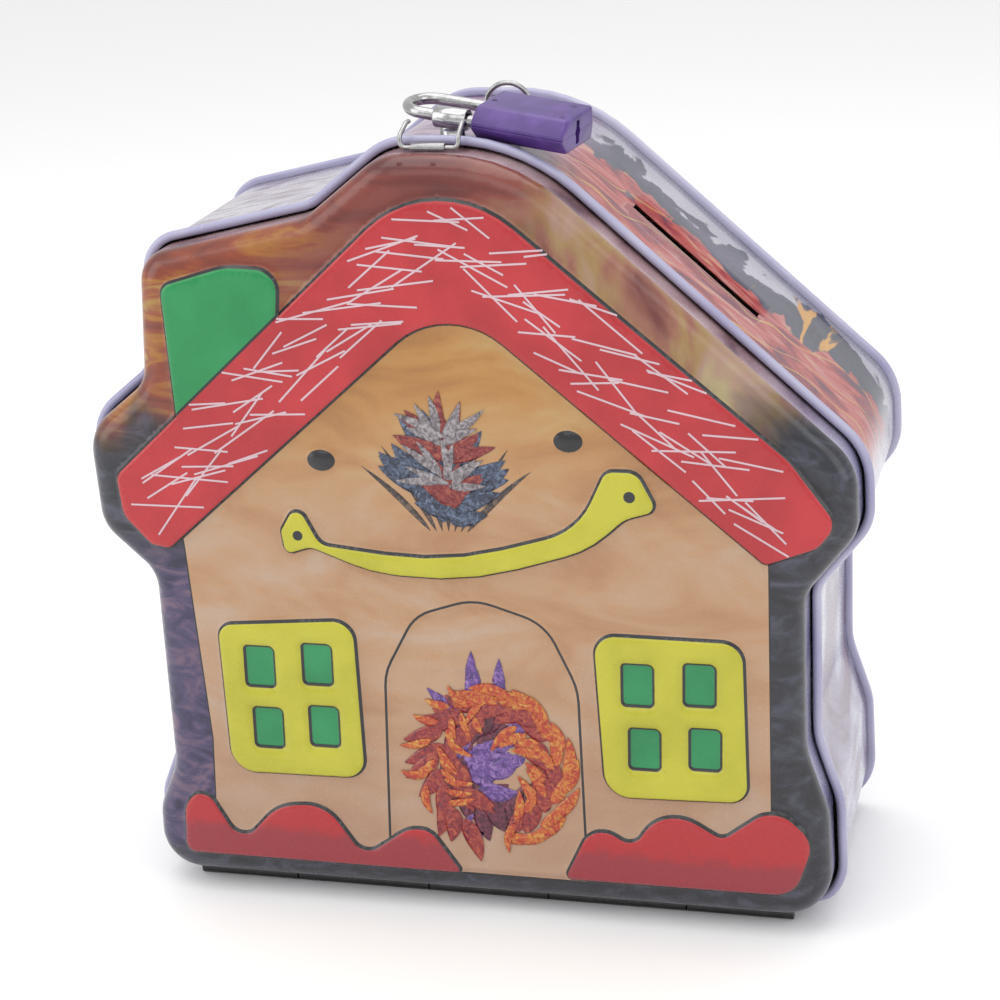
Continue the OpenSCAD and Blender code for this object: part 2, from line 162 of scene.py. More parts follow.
def winding(corners):
    """1 for corners listed anticlockwise and -1 for clockwise."""
    total = 0
    for i, c in enumerate(corners):
        n = corners[(i + 1) % len(corners)]
        total += c[0] * n[1] - n[0] * c[1]
    return 1 if total > 0 else -1


def inset(corners, distance):
    """The corners moved inwards by a distance; their arcs keep their centres."""
    turn = winding(corners)
    count = len(corners)
    lines = []
    for i in range(count):
        p = Vector(corners[i][:2])
        q = Vector(corners[(i + 1) % count][:2])
        d = (q - p).normalized()
        lines.append((p + Vector((-d.y, d.x)) * turn * distance, d))
    moved = []
    for i in range(count):
        p, a = lines[i - 1]
        q, b = lines[i]
        cross = a.x * b.y - a.y * b.x
        if abs(cross) < 1e-6:
            point = q
        else:
            w = q - p
            point = p + a * ((w.x * b.y - w.y * b.x) / cross)
        grow = -distance if cross * turn > 0 else distance
        radius = corners[i][2]
        moved.append((point.x, point.y, max(radius + grow, 0.15) if radius > 0 else 0))
    return moved


def densify(points, longest):
    """Closed outline with its long stretches divided."""
    out = []
    for i, p in enumerate(points):
        q = points[(i + 1) % len(points)]
        steps = max(1, math.ceil((q - p).length / longest))
        for k in range(steps):
            out.append(p.lerp(q, k / steps))
    return out


def distance_inside(places, outline):
    """Distance of each place to a closed outline, positive inside."""
    ring = np.array([tuple(p) for p in outline])
    nearest = np.full(len(places), 1e9)
    inside = np.zeros(len(places), bool)
    for a, b in zip(ring, np.roll(ring, -1, axis=0)):
        d = b - a
        length = max(float(d @ d), 1e-12)
        t = np.clip(((places - a) @ d) / length, 0, 1)
        gap = places - a - t[:, None] * d
        nearest = np.minimum(nearest, (gap ** 2).sum(1))
        if a[1] != b[1]:
            crosses = (a[1] > places[:, 1]) != (b[1] > places[:, 1])
            x = a[0] + (places[:, 1] - a[1]) / (b[1] - a[1]) * d[0]
            inside ^= crosses & (places[:, 0] < x)
    return np.sqrt(nearest) * np.where(inside, 1, -1)


def smooth_step(t):
    """0 below 0, 1 above 1 and smooth between, for numbers and arrays."""
    t = np.clip(t, 0, 1)
    return t * t * (3 - 2 * t)


# ---------------------------------------------------------------- meshes

def linked(name, data):
    """An object in the scene from its data."""
    obj = bpy.data.objects.new(name, data)
    bpy.context.collection.objects.link(obj)
    return obj


def hand_over(obj, body, slot, *nodes):
    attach(obj, body)
    if nodes:
        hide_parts(*nodes)


@contextmanager
def edited(obj):
    """The object's mesh open for changes, which are written back at the end."""
    shape = bmesh.new()
    shape.from_mesh(obj.data)
    yield shape
    shape.to_mesh(obj.data)
    shape.free()


def mesh_object(name, vertices, faces, materials, slots=None):
    """A mesh in the scene, at the origin, from vertices in millimetres."""
    mesh = bpy.data.meshes.new(name)
    mesh.from_pydata([tuple(c * MM for c in v) for v in vertices], [], faces)
    for material in materials:
        mesh.materials.append(material)
    if slots is not None:
        mesh.polygons.foreach_set("material_index", slots)
    mesh.polygons.foreach_set("use_smooth", [True] * len(mesh.polygons))
    mesh.update()
    obj = linked(name, mesh)
    return obj


def apply_modifiers(obj):
    """Turns the object's modifiers into its mesh."""
    graph = bpy.context.evaluated_depsgraph_get()
    graph.update()
    made = bpy.data.meshes.new_from_object(obj.evaluated_get(graph))
    old = obj.data
    obj.modifiers.clear()
    obj.data = made
    bpy.data.meshes.remove(old)
    return obj


def thicken(obj, thickness, inside=0, rim=0):
    """Gives a sheet its thickness, inwards; inside and rim count slots on from the outside."""
    wall = obj.modifiers.new("Sheet", "SOLIDIFY")
    wall.thickness = thickness
    wall.offset = -1
    wall.material_offset = inside
    wall.material_offset_rim = rim
    return apply_modifiers(obj)


def face_outwards(obj):
    """Merges doubles and turns every face of a closed shape outwards."""
    with edited(obj) as shape:
        bmesh.ops.remove_doubles(shape, verts=shape.verts, dist=1e-7)
        bmesh.ops.recalc_face_normals(shape, faces=shape.faces)
    return obj


def joined(objects, name):
    """One object from several."""
    shape = bmesh.new()
    materials = []
    for obj in objects:
        start = len(shape.faces)
        shape.from_mesh(obj.data)
        shape.faces.ensure_lookup_table()
        own = list(obj.data.materials)
        for m in own:
            if m not in materials:
                materials.append(m)
        for f in shape.faces[start:]:
            f.material_index = materials.index(own[f.material_index]) if own else 0
    mesh = bpy.data.meshes.new(name)
    shape.to_mesh(mesh)
    shape.free()
    for m in materials:
        mesh.materials.append(m)
    for obj in objects:
        bpy.data.objects.remove(obj)
    made = linked(name, mesh)
    return made


def rings_mesh(name, rings, materials, closed=False, caps=True):
    """A skin over rings of equal length; closed joins the last ring to the first."""
    count = len(rings[0])
    vertices = [v for ring in rings for v in ring]
    faces = []
    spans = len(rings) if closed else len(rings) - 1
    for i in range(spans):
        j = (i + 1) % len(rings)
        for k in range(count):
            m = (k + 1) % count
            faces.append((i * count + k, i * count + m, j * count + m, j * count + k))
    if caps and not closed:
        faces.append(tuple(range(count - 1, -1, -1)))
        faces.append(tuple((len(rings) - 1) * count + k for k in range(count)))
    return mesh_object(name, vertices, faces, materials)


def wire(name, points, radius, material, sides=16):
    """A round wire along points, its ends closed and slightly rounded."""
    path = [Vector(p) for p in points]
    last = len(path) - 1
    tangents = []
    for i in range(last + 1):
        before = path[max(i - 1, 0)]
        after = path[min(i + 1, last)]
        tangents.append((after - before).normalized())
    normal = tangents[0].orthogonal().normalized()
    rings = []
    for i, (p, t) in enumerate(zip(path, tangents)):
        normal = (normal - t * normal.dot(t)).normalized()
        side = t.cross(normal)
        sizes = [1.0]
        shifts = [0.0]
        if i in (0, last):
            sizes = [0.6, 0.9, 1.0]
            shifts = [0.0, 0.12, 0.4]
        if i == last:
            sizes = sizes[::-1]
            shifts = [-s for s in shifts[::-1]]
        for size, shift in zip(sizes, shifts):
            centre = p + t * shift * radius
            rings.append([
                centre + (normal * math.cos(a) + side * math.sin(a)) * radius * size
                for a in (2 * math.pi * k / sides for k in range(sides))
            ])
    return face_outwards(rings_mesh(name, rings, [material]))


def bent(points, radius, steps=8):
    """A path whose inner corners are arcs of a radius."""
    path = [Vector(p) for p in points]
    out = [path[0]]
    for i in range(1, len(path) - 1):
        a = (path[i - 1] - path[i]).normalized()
        b = (path[i + 1] - path[i]).normalized()
        half = math.acos(max(-1, min(1, a.dot(b)))) / 2
        shorter = min((path[i - 1] - path[i]).length, (path[i + 1] - path[i]).length)
        reach = min(radius / math.tan(half), shorter * 0.49)
        real = reach * math.tan(half)
        middle = path[i] + (a + b).normalized() * (real / math.sin(half))
        start = path[i] + a * reach - middle
        end = path[i] + b * reach - middle
        for k in range(steps + 1):
            out.append(middle + start.slerp(end, k / steps).normalized() * real)
    out.append(path[-1])
    return out


# ---------------------------------------------------------------- finishes

class Nodes:
    """Short ways to add nodes to a material that reads the piece's own coordinates."""

    def __init__(self, name, roughness=0.25, metallic=0.0, coat=0.0, coat_roughness=0.08, ink=1.0):
        self.material = bpy.data.materials.new(name)
        self.material.use_nodes = True
        self.tree = self.material.node_tree
        self.shader = self.tree.nodes["Principled BSDF"]
        self.shader.inputs["Roughness"].default_value = roughness
        self.shader.inputs["Metallic"].default_value = metallic
        self.shader.inputs["Coat Weight"].default_value = coat
        self.shader.inputs["Coat Roughness"].default_value = coat_roughness
        self.ink = ink
        self.place = self.add("ShaderNodeTexCoord").outputs["Object"]

    def add(self, kind, **settings):
        """A node with its settings."""
        node = self.tree.nodes.new(kind)
        for key, value in settings.items():
            setattr(node, key, value)
        return node

    def feed(self, socket, value):
        """Links a socket, or sets a plain value."""
        if isinstance(value, bpy.types.NodeSocket):
            self.tree.links.new(value, socket)
        else:
            socket.default_value = value

    def math(self, operation, a, b=0.0):
        """The result of a Math node."""
        node = self.add("ShaderNodeMath", operation=operation)
        self.feed(node.inputs[0], a)
        self.feed(node.inputs[1], b)
        return node.outputs[0]

    def mapped(self, scale=(1, 1, 1), turn=(0, 0, 0)):
        """Object coordinates in millimetres, stretched and turned."""
        node = self.add("ShaderNodeMapping")
        self.feed(node.inputs["Vector"], self.place)
        node.inputs["Scale"].default_value = [s / MM for s in scale]
        node.inputs["Rotation"].default_value = [math.radians(t) for t in turn]
        return node.outputs[0]

    def axes(self):
        """x, y and z in millimetres."""
        node = self.add("ShaderNodeSeparateXYZ")
        self.feed(node.inputs[0], self.mapped())
        return node.outputs

    def noise(self, vector, scale, detail=4.0, distortion=0.0, roughness=0.5):
        """A noise value between about 0.3 and 0.7."""
        node = self.add("ShaderNodeTexNoise")
        self.feed(node.inputs["Vector"], vector)
        node.inputs["Scale"].default_value = scale
        node.inputs["Detail"].default_value = detail
        node.inputs["Roughness"].default_value = roughness
        node.inputs["Distortion"].default_value = distortion
        return node.outputs["Fac"]

    def wave(self, vector, scale, distortion, detail):
        """Bent bands between 0 and 1."""
        node = self.add("ShaderNodeTexWave")
        self.feed(node.inputs["Vector"], vector)
        node.inputs["Scale"].default_value = scale
        node.inputs["Distortion"].default_value = distortion
        node.inputs["Detail"].default_value = detail
        return node.outputs["Fac"]

    def ramp(self, value, stops):
        """A colour by value; stops are (position, colour)."""
        node = self.add("ShaderNodeValToRGB")
        ramp = node.color_ramp
        while len(ramp.elements) < len(stops):
            ramp.elements.new(0.5)
        for element, (position, colour) in zip(ramp.elements, stops):
            element.position = position
            element.color = (*colour, 1)
        self.feed(node.inputs[0], value)
        return node.outputs[0]

    def between(self, value, low, high):
        """0 below low, 1 above high."""
        node = self.add("ShaderNodeMapRange", interpolation_type="SMOOTHSTEP")
        self.feed(node.inputs["Value"], value)
        node.inputs["From Min"].default_value = low
        node.inputs["From Max"].default_value = high
        return node.outputs[0]

    def mix(self, share, a, b, blend="MIX"):
        """Two colours mixed."""
        node = self.add("ShaderNodeMix", data_type="RGBA", blend_type=blend)
        self.feed(node.inputs[0], share)
        for socket, value in ((node.inputs[6], a), (node.inputs[7], b)):
            if isinstance(value, bpy.types.NodeSocket):
                self.tree.links.new(value, socket)
            else:
                socket.default_value = (*value, 1)
        return node.outputs[2]

    def colour(self, value):
        """Sets the surface's colour, darkened by the depth of the ink."""
        deep = self.mix(1.0, value, (self.ink,) * 3, "MULTIPLY")
        self.feed(self.shader.inputs["Base Color"], deep)

    def rough(self, value, low, high):
        """Roughness that varies between low and high."""
        node = self.add("ShaderNodeMapRange")
        self.feed(node.inputs["Value"], value)
        node.inputs["To Min"].default_value = low
        node.inputs["To Max"].default_value = high
        self.feed(self.shader.inputs["Roughness"], node.outputs[0])

    def bump(self, height, strength, distance=0.05):
        """Bump from a height, its distance in millimetres."""
        node = self.add("ShaderNodeBump")
        node.inputs["Strength"].default_value = strength
        node.inputs["Distance"].default_value = distance * MM
        self.feed(node.inputs["Height"], height)
        self.feed(self.shader.inputs["Normal"], node.outputs[0])


def print_nodes(name):
    """Nodes of a lacquered print."""
    return Nodes(name, coat=PRINT_COAT, ink=INK)


def tin_surface(nodes):
    """The sheet's slight waviness and fine scuffs, under every print."""
    wide = nodes.noise(nodes.mapped(), 0.05, 2)
    fine = nodes.noise(nodes.mapped(), 1.4, 3)
    nodes.rough(fine, 0.16, 0.34)
    nodes.bump(nodes.math("ADD", wide, nodes.math("MULTIPLY", fine, 0.02)), 0.35, 0.6)


def plain_print(name, colour, spread=0.12):
    """One printed colour with the small unevenness of litho ink on tin."""
    nodes = print_nodes(name)
    blotch = nodes.noise(nodes.mapped(), 0.09, 3)
    light = tuple(min(1, c * (1 + spread) + 0.01) for c in colour)
    dark = tuple(c * (1 - spread) for c in colour)
    nodes.colour(nodes.ramp(blotch, [(0.35, dark), (0.65, light)]))
    tin_surface(nodes)
    return nodes.material


def bush_print(name, colour, low_colour):
    """Bush print: its upper edge is brighter than its lower part."""
    nodes = print_nodes(name)
    z = nodes.axes()[2]
    ragged = nodes.math("ADD", z, nodes.math("MULTIPLY", nodes.noise(nodes.mapped(), 0.3, 3), 5))
    nodes.colour(nodes.mix(nodes.between(ragged, 16.5, 19.5), low_colour, colour))
    tin_surface(nodes)
    return nodes.material


def marbled_wall(name):
    """Orange and cream marbled wall."""
    nodes = print_nodes(name)
    z = nodes.axes()[2]
    veins = nodes.noise(nodes.mapped((1, 1, 2.0), (0, 12, 0)), 0.03, 5, 1.2, 0.55)
    amber = nodes.ramp(veins, [
        (0.34, (0.45, 0.18, 0.035)), (0.5, (0.62, 0.29, 0.07)), (0.66, (0.66, 0.4, 0.14)),
    ])
    cream = nodes.ramp(veins, [
        (0.34, (0.55, 0.28, 0.13)), (0.5, (0.64, 0.37, 0.2)), (0.66, (0.66, 0.45, 0.31)),
    ])
    veined = nodes.math("ADD", z, nodes.math("MULTIPLY", veins, 20))
    base = nodes.mix(nodes.between(veined, 122, 84), amber, cream)
    low = nodes.between(z, 60, 12)
    pinkish = nodes.mix(nodes.math("MULTIPLY", low, 0.5), base, (0.55, 0.36, 0.27))
    nodes.colour(pinkish)
    tin_surface(nodes)
    return nodes.material


def border_print(name):
    """Painted landscape round the picture: brown and gold above, charcoal and plum below."""
    nodes = print_nodes(name)
    x, _, z = nodes.axes()
    drift = nodes.noise(nodes.mapped(), 0.03, 4, 1.0)
    bands = nodes.noise(nodes.mapped((0.35, 1, 1.6), (0, -8, 0)), 0.07, 5, 1.2, 0.55)
    stripes = nodes.noise(nodes.mapped((1.5, 1, 0.5), (0, 42, 0)), 0.05, 4, 0.8, 0.5)
    fine = nodes.noise(nodes.mapped((0.8, 1, 1.6), (0, 35, 0)), 0.12, 6, 1.6, 0.6)
    umber = nodes.ramp(bands, [
        (0.34, (0.12, 0.02, 0.015)), (0.46, (0.34, 0.06, 0.02)),
        (0.53, (0.5, 0.2, 0.02)), (0.6, (0.36, 0.06, 0.02)), (0.7, (0.6, 0.4, 0.07)),
    ])
    wine = nodes.ramp(bands, [
        (0.36, (0.13, 0.02, 0.018)), (0.5, (0.27, 0.045, 0.03)), (0.66, (0.33, 0.11, 0.07)),
    ])
    rose = nodes.ramp(stripes, [
        (0.36, (0.2, 0.045, 0.04)), (0.46, (0.4, 0.16, 0.1)), (0.53, (0.44, 0.27, 0.1)),
        (0.6, (0.5, 0.3, 0.22)), (0.7, (0.55, 0.44, 0.22)),
    ])
    coal = nodes.ramp(fine, [
        (0.36, (0.012, 0.012, 0.018)), (0.52, (0.028, 0.03, 0.045)), (0.7, (0.085, 0.085, 0.13)),
    ])
    plum = nodes.ramp(fine, [
        (0.36, (0.03, 0.022, 0.07)), (0.5, (0.08, 0.06, 0.16)), (0.64, (0.2, 0.12, 0.2)),
    ])
    swing = nodes.math("MULTIPLY", nodes.math("SUBTRACT", drift, 0.5), 44)
    middle = nodes.mix(nodes.between(nodes.math("ADD", x, swing), -36, -14), umber, wine)
    high = nodes.mix(nodes.between(nodes.math("ADD", x, swing), 6, 24), middle, rose)
    eaves = nodes.between(nodes.math("ADD", z, swing), 108, 97)
    upper = nodes.mix(eaves, high, coal)
    left = nodes.between(nodes.math("ADD", x, swing), 0, -30)
    foot = nodes.mix(nodes.math("MULTIPLY", left, nodes.between(z, 80, 66)), upper, plum)
    edge = nodes.math("ADD", z, nodes.math("MULTIPLY", swing, 0.1))
    under = nodes.mix(nodes.between(edge, 11, 7.5), foot, coal)
    nodes.colour(under)
    tin_surface(nodes)
    return nodes.material


def skirt_print(name):
    """Lid's rim below the step, pale lilac running to slate."""
    nodes = print_nodes(name)
    z = nodes.axes()[2]
    drift = nodes.noise(nodes.mapped(), 0.05, 4, 0.8)
    pale = nodes.ramp(drift, [
        (0.38, (0.12, 0.12, 0.21)), (0.5, (0.3, 0.3, 0.48)), (0.64, (0.5, 0.48, 0.66)),
    ])
    rose = nodes.ramp(drift, [
        (0.38, (0.2, 0.1, 0.12)), (0.5, (0.46, 0.28, 0.3)), (0.64, (0.62, 0.44, 0.46)),
    ])
    nodes.colour(nodes.mix(nodes.between(z, 92, 118), pale, rose))
    tin_surface(nodes)
    return nodes.material


def lilac_bead(name):
    """Pale lilac of the bead and the back seam."""
    nodes = print_nodes(name)
    tone = nodes.noise(nodes.mapped(), 0.05, 3)
    nodes.colour(nodes.ramp(tone, [
        (0.35, (0.46, 0.44, 0.68)), (0.55, (0.58, 0.56, 0.78)), (0.7, (0.66, 0.64, 0.84)),
    ]))
    tin_surface(nodes)
    return nodes.material


def band_print(name):
    """Painted scrolls on the band: crimson and gold in front, slate in the middle, pale behind."""
    nodes = print_nodes(name)
    x, y, z = nodes.axes()
    depth = nodes.math("SUBTRACT", y, BEAD_FRONT)
    wide = nodes.noise(nodes.mapped((1, 1, 1), (0, 0, 30)), 0.04, 3, 1.2, 0.5)
    teeth = nodes.noise(nodes.mapped((1, 0.35, 1), (0, 40, 0)), 0.16, 3, 0.6, 0.5)
    sway = nodes.math("MULTIPLY", nodes.math("SUBTRACT", wide, 0.5), 46)
    spikes = nodes.math("MULTIPLY", nodes.math("SUBTRACT", teeth, 0.5), 22)
    shifted = nodes.math("ADD", depth, nodes.math("ADD", sway, spikes))
    strands = nodes.noise(nodes.mapped((0.5, 1.5, 0.5), (0, 40, 0)), 0.09, 5, 2.2, 0.55)
    crimson = nodes.ramp(strands, [
        (0.32, (0.1, 0.008, 0.05)), (0.42, (0.36, 0.02, 0.04)), (0.52, (0.6, 0.09, 0.07)),
        (0.6, (0.62, 0.2, 0.2)), (0.7, (0.7, 0.42, 0.2)),
    ])
    flow = nodes.wave(nodes.mapped((1, 1, 1), (0, 40, 20)), 0.03, 7, 2)
    curls = nodes.math("ABSOLUTE", nodes.math("SUBTRACT", flow, 0.5))
    gilt = nodes.mix(nodes.between(curls, 0.05, 0.025), crimson, (0.68, 0.42, 0.1))
    slate = nodes.ramp(wide, [
        (0.34, (0.018, 0.02, 0.05)), (0.5, (0.045, 0.045, 0.095)), (0.66, (0.1, 0.09, 0.17)),
    ])
    tongue = nodes.between(nodes.noise(nodes.mapped((1, 0.25, 1)), 0.1, 3, 1.6), 0.57, 0.62)
    flame = nodes.math("MULTIPLY", nodes.between(x, 44, 60), tongue)
    lit = nodes.mix(flame, slate, (0.78, 0.38, 0.06))
    pale = nodes.ramp(wide, [
        (0.34, (0.3, 0.27, 0.38)), (0.5, (0.5, 0.49, 0.58)), (0.66, (0.6, 0.59, 0.67)),
    ])
    top = nodes.mix(nodes.between(shifted, 25, 26.5), gilt, lit)
    roof = nodes.mix(nodes.between(shifted, 41, 42.5), top, pale)
    blush = nodes.ramp(wide, [
        (0.36, (0.3, 0.22, 0.32)), (0.46, (0.5, 0.46, 0.62)),
        (0.56, (0.72, 0.73, 0.86)), (0.7, (0.52, 0.46, 0.56)),
    ])
    wall = nodes.between(z, 96, 84)
    sides = nodes.mix(nodes.math("MULTIPLY", wall, nodes.between(x, 20, 40)), roof, blush)
    mauve = nodes.ramp(strands, [
        (0.34, (0.12, 0.07, 0.17)), (0.48, (0.34, 0.2, 0.36)), (0.62, (0.6, 0.4, 0.6)),
        (0.7, (0.62, 0.3, 0.4)),
    ])
    crest = nodes.between(nodes.math("ABSOLUTE", nodes.math("ADD", x, 1)), 24, 12)
    ridge = nodes.mix(nodes.math("MULTIPLY", crest, nodes.between(z, 140, 148)), sides, mauve)
    left = nodes.between(x, -12, -20)
    ashen = nodes.ramp(strands, [
        (0.36, (0.22, 0.14, 0.2)), (0.48, (0.46, 0.4, 0.5)), (0.56, (0.64, 0.62, 0.7)),
        (0.68, (0.4, 0.28, 0.34)),
    ])
    nodes.colour(nodes.mix(left, ridge, ashen))
    tin_surface(nodes)
    return nodes.material


def leaf_print(name, stops):
    """Shaded leaf or petal print."""
    nodes = print_nodes(name)
    fine = nodes.noise(nodes.mapped((1, 1, 1), (0, 30, 0)), 0.55, 5, 2.0, 0.65)
    nodes.colour(nodes.ramp(fine, stops))
    tin_surface(nodes)
    return nodes.material


def bare_tin(name):
    """Clear-lacquered inside of the sheet."""
    nodes = Nodes(name, roughness=0.32, metallic=1.0)
    grain = nodes.noise(nodes.mapped((1, 1, 0.06)), 2.0, 4)
    nodes.colour(nodes.ramp(grain, [(0.35, (0.58, 0.56, 0.5)), (0.65, (0.74, 0.72, 0.66))]))
    nodes.rough(grain, 0.24, 0.42)
    nodes.bump(grain, 0.1, 0.02)
    return nodes.material


def bright_steel(name, tone=0.42, low=0.12, high=0.3):
    """Nickelled steel with fine wear; its tone is set low as a painted dark reflection, for surroundings
    that the white studio does not have.
    """
    nodes = Nodes(name, metallic=1.0)
    wear = nodes.noise(nodes.mapped(), 1.1, 5)
    nodes.colour(nodes.ramp(wear, [
        # The tone darkens the metal's own colour: painted dark reflection, not the nickel's colour.
        (0.35, (tone * 0.8, tone * 0.79, tone * 0.78)), (0.65, (tone, tone, tone * 1.01)),
    ]))
    nodes.rough(wear, low, high)
    nodes.bump(wear, 0.15, 0.02)
    return nodes.material


def lock_paint(name):
    """Purple coating on the padlock's case, softly clouded and speckled."""
    nodes = Nodes(name, roughness=0.38, coat=0.25, coat_roughness=0.2)
    speck = nodes.noise(nodes.mapped(), 3.2, 4)
    cloud = nodes.noise(nodes.mapped(), 0.25, 3)
    nodes.colour(nodes.mix(
        nodes.between(cloud, 0.35, 0.7), (0.05, 0.016, 0.15), (0.085, 0.032, 0.22)
    ))
    nodes.rough(speck, 0.3, 0.48)
    nodes.bump(speck, 0.25, 0.04)
    return nodes.material


# ---------------------------------------------------------------- sizes and colours

def length(name, description, millimetres):
    """A length in the sidebar."""
    return FloatProperty(
        name=name, description=description, default=millimetres * MM, unit="LENGTH",
    )


def tint(name, description, colour):
    """A colour in the sidebar."""
    return FloatVectorProperty(
        name=name, description=description, subtype="COLOR", default=colour,
    )


class MoneyBoxSizes(PropertyGroup):
    """Sizes of the pressing and the fittings."""

    face_rise: length("Face", "Height of the lid's face over its rim", 4.1)
    shoulder: length("Shoulder", "Width of the lid's rounded edge", 5.2)
    emboss: length("Emboss", "Height of the pressed picture", 1.1)
    bevel: length("Bevel", "Width of the pressed picture's sloping edge", 1.2)
    outline: length("Outline", "Width of the black printed lines", 0.5)
    sheet: length("Sheet", "Thickness of the tin", 0.3)
    slot_length: length("Slot length", "Length of the coin slot", 31)
    slot_width: length("Slot width", "Width of the coin slot", 3)
    straws: IntProperty(
        name="Straws", description="Number of straw lines on the roof", default=104, min=0,
    )
    straw_seed: IntProperty(
        name="Straw seed", description="Seed of the straw lines' order", default=7,
    )


class MoneyBoxColours(PropertyGroup):
    """Printed colours."""

    roof: tint("Roof", "Roof print", (0.62, 0.016, 0.026))
    bush: tint("Bush", "Upper part of the bushes", (0.58, 0.02, 0.028))
    bush_low: tint("Bush foot", "Lower part of the bushes", (0.4, 0.03, 0.045))
    chimney: tint("Chimney", "Chimney print", (0.002, 0.34, 0.085))
    yellow: tint("Window", "Window frames and smile", (0.66, 0.62, 0.025))
    pane: tint("Pane", "Window panes", (0.005, 0.33, 0.1))
    straw: tint("Straw", "Straw lines on the roof", (0.86, 0.62, 0.68))
    floor: tint("Floor", "Floor under the box", (0.93, 0.93, 0.93))


def sizes():
    """The sizes set in the scene."""
    return bpy.context.scene.money_box_sizes


def colours():
    """The colours set in the scene."""
    return bpy.context.scene.money_box_colours


# ---------------------------------------------------------------- lid

FACE_PLANE = EMBOSS_FRONT + 1.1
RIM_PLANE = FACE_PLANE + 4.1
SHORT_SKIRT = BEAD_FRONT - 0.8
# Distance between the free points of the lid's mesh
MESH_PITCH = 1.3


def lid_height(places, edge):
    """Y of the lid's pressed face at each place, from the distance to its edge."""
    size = sizes()
    width = size.shoulder / MM
    t = np.clip(1 - edge / width, 0, 1)
    rise = size.face_rise / MM * np.sqrt(np.clip(1 - t ** 2.4, 0, 1))
    lift = np.zeros(len(places))
    bevel = size.bevel / MM
    full = size.emboss / MM
    panes = np.zeros(len(places))
    for x, z in PANE_CORNERS:
        inside = distance_inside(places, rounded(pane(x, z)))
        panes = np.maximum(panes, smooth_step((inside + 0.45) / 0.8))
    for shape in [ROOF, CHIMNEY, SMILE, *BUSHES]:
        inside = distance_inside(places, rounded(shape))
        lift = np.maximum(lift, full * smooth_step((inside + 0.3) / bevel))
    for shape in WINDOWS:
        inside = distance_inside(places, rounded(shape))
        lift = np.maximum(lift, full * smooth_step((inside + 0.3) / bevel) * (1 - 0.85 * panes))
    door = distance_inside(places, rounded(DOOR))
    ridge = np.exp(-((np.abs(door) - 0.2) / 0.9) ** 2) * (places[:, 1] > 9)
    lift = np.maximum(lift, full * 0.5 * ridge)
    for shape in GRILLE:
        inside = distance_inside(places, rounded(shape))
        lift = np.maximum(lift, full * GRILLE_SHARE * smooth_step((inside + 0.6) / 1.4))
    for x, z in EYES:
        away = ((places[:, 0] - x) / 2.9) ** 2 + ((places[:, 1] - z) / 2.3) ** 2
        lift = np.maximum(lift, full * 0.8 * np.sqrt(np.clip(1 - away, 0, 1)))
    lift *= smooth_step((edge - 1.5) / 3)
    return RIM_PLANE - rise - lift


def pane(x, z):
    """Corners of a window pane from its lower left."""
    return [
        (x, z, 1.2), (x + 0.2, z + PANE_HEIGHT, 1), (x + PANE_WIDTH, z + PANE_HEIGHT, 1.4),
        (x + PANE_WIDTH - 0.2, z, 1.2),
    ]


# Pressed bars over the door, and their share of the full height
GRILLE_SHARE = 0.5
GRILLE = [
    [(-8.5, 51.5, 1.2), (-8.5, 53.7, 1.2), (11.5, 53.9, 1.2), (11.5, 51.7, 1.2)],
    [(-7, 46.8, 1.2), (-7, 49, 1.2), (12.5, 49.2, 1.2), (12.5, 47, 1.2)],
    [(-4.5, 44, 1.2), (-4.5, 57.5, 1.2), (-2.2, 57.5, 1.2), (-2.2, 44, 1.2)],
    [(5.4, 44, 1.2), (5.4, 58, 1.2), (7.7, 58, 1.2), (7.7, 44, 1.2)],
]


def lid_regions():
    """Printed areas from the top layer down: outline corners, inner slot, outline slot."""
    layers = []
    for x, z in EYES:
        layers.append((oval(x, z, 2.75, 2.1), "ink", None))
    for x, z, r in SMILE_HOLES:
        layers.append((oval(x, z, r, r), "ink", None))
    layers.append((SMILE, "yellow", "ink"))
    for shape in BUSHES:
        layers.append((shape, "bush", "ink"))
    for x, z in PANE_CORNERS:
        layers.append((pane(x, z), "pane", "ink"))
    for shape in WINDOWS:
        layers.append((shape, "yellow", "ink"))
    layers.append((ROOF, "roof", "ink"))
    layers.append((CHIMNEY, "chimney", "ink"))
    layers.append((DOOR, "wall", "ink"))
    layers.append((WALL, "wall", "ink_thin"))
    return layers


def oval(x, z, a, b):
    """An oval as corners without radius."""
    return [
        (x + a * math.cos(t), z + b * math.sin(t), 0)
        for t in (2 * math.pi * k / 24 for k in range(24))
    ]


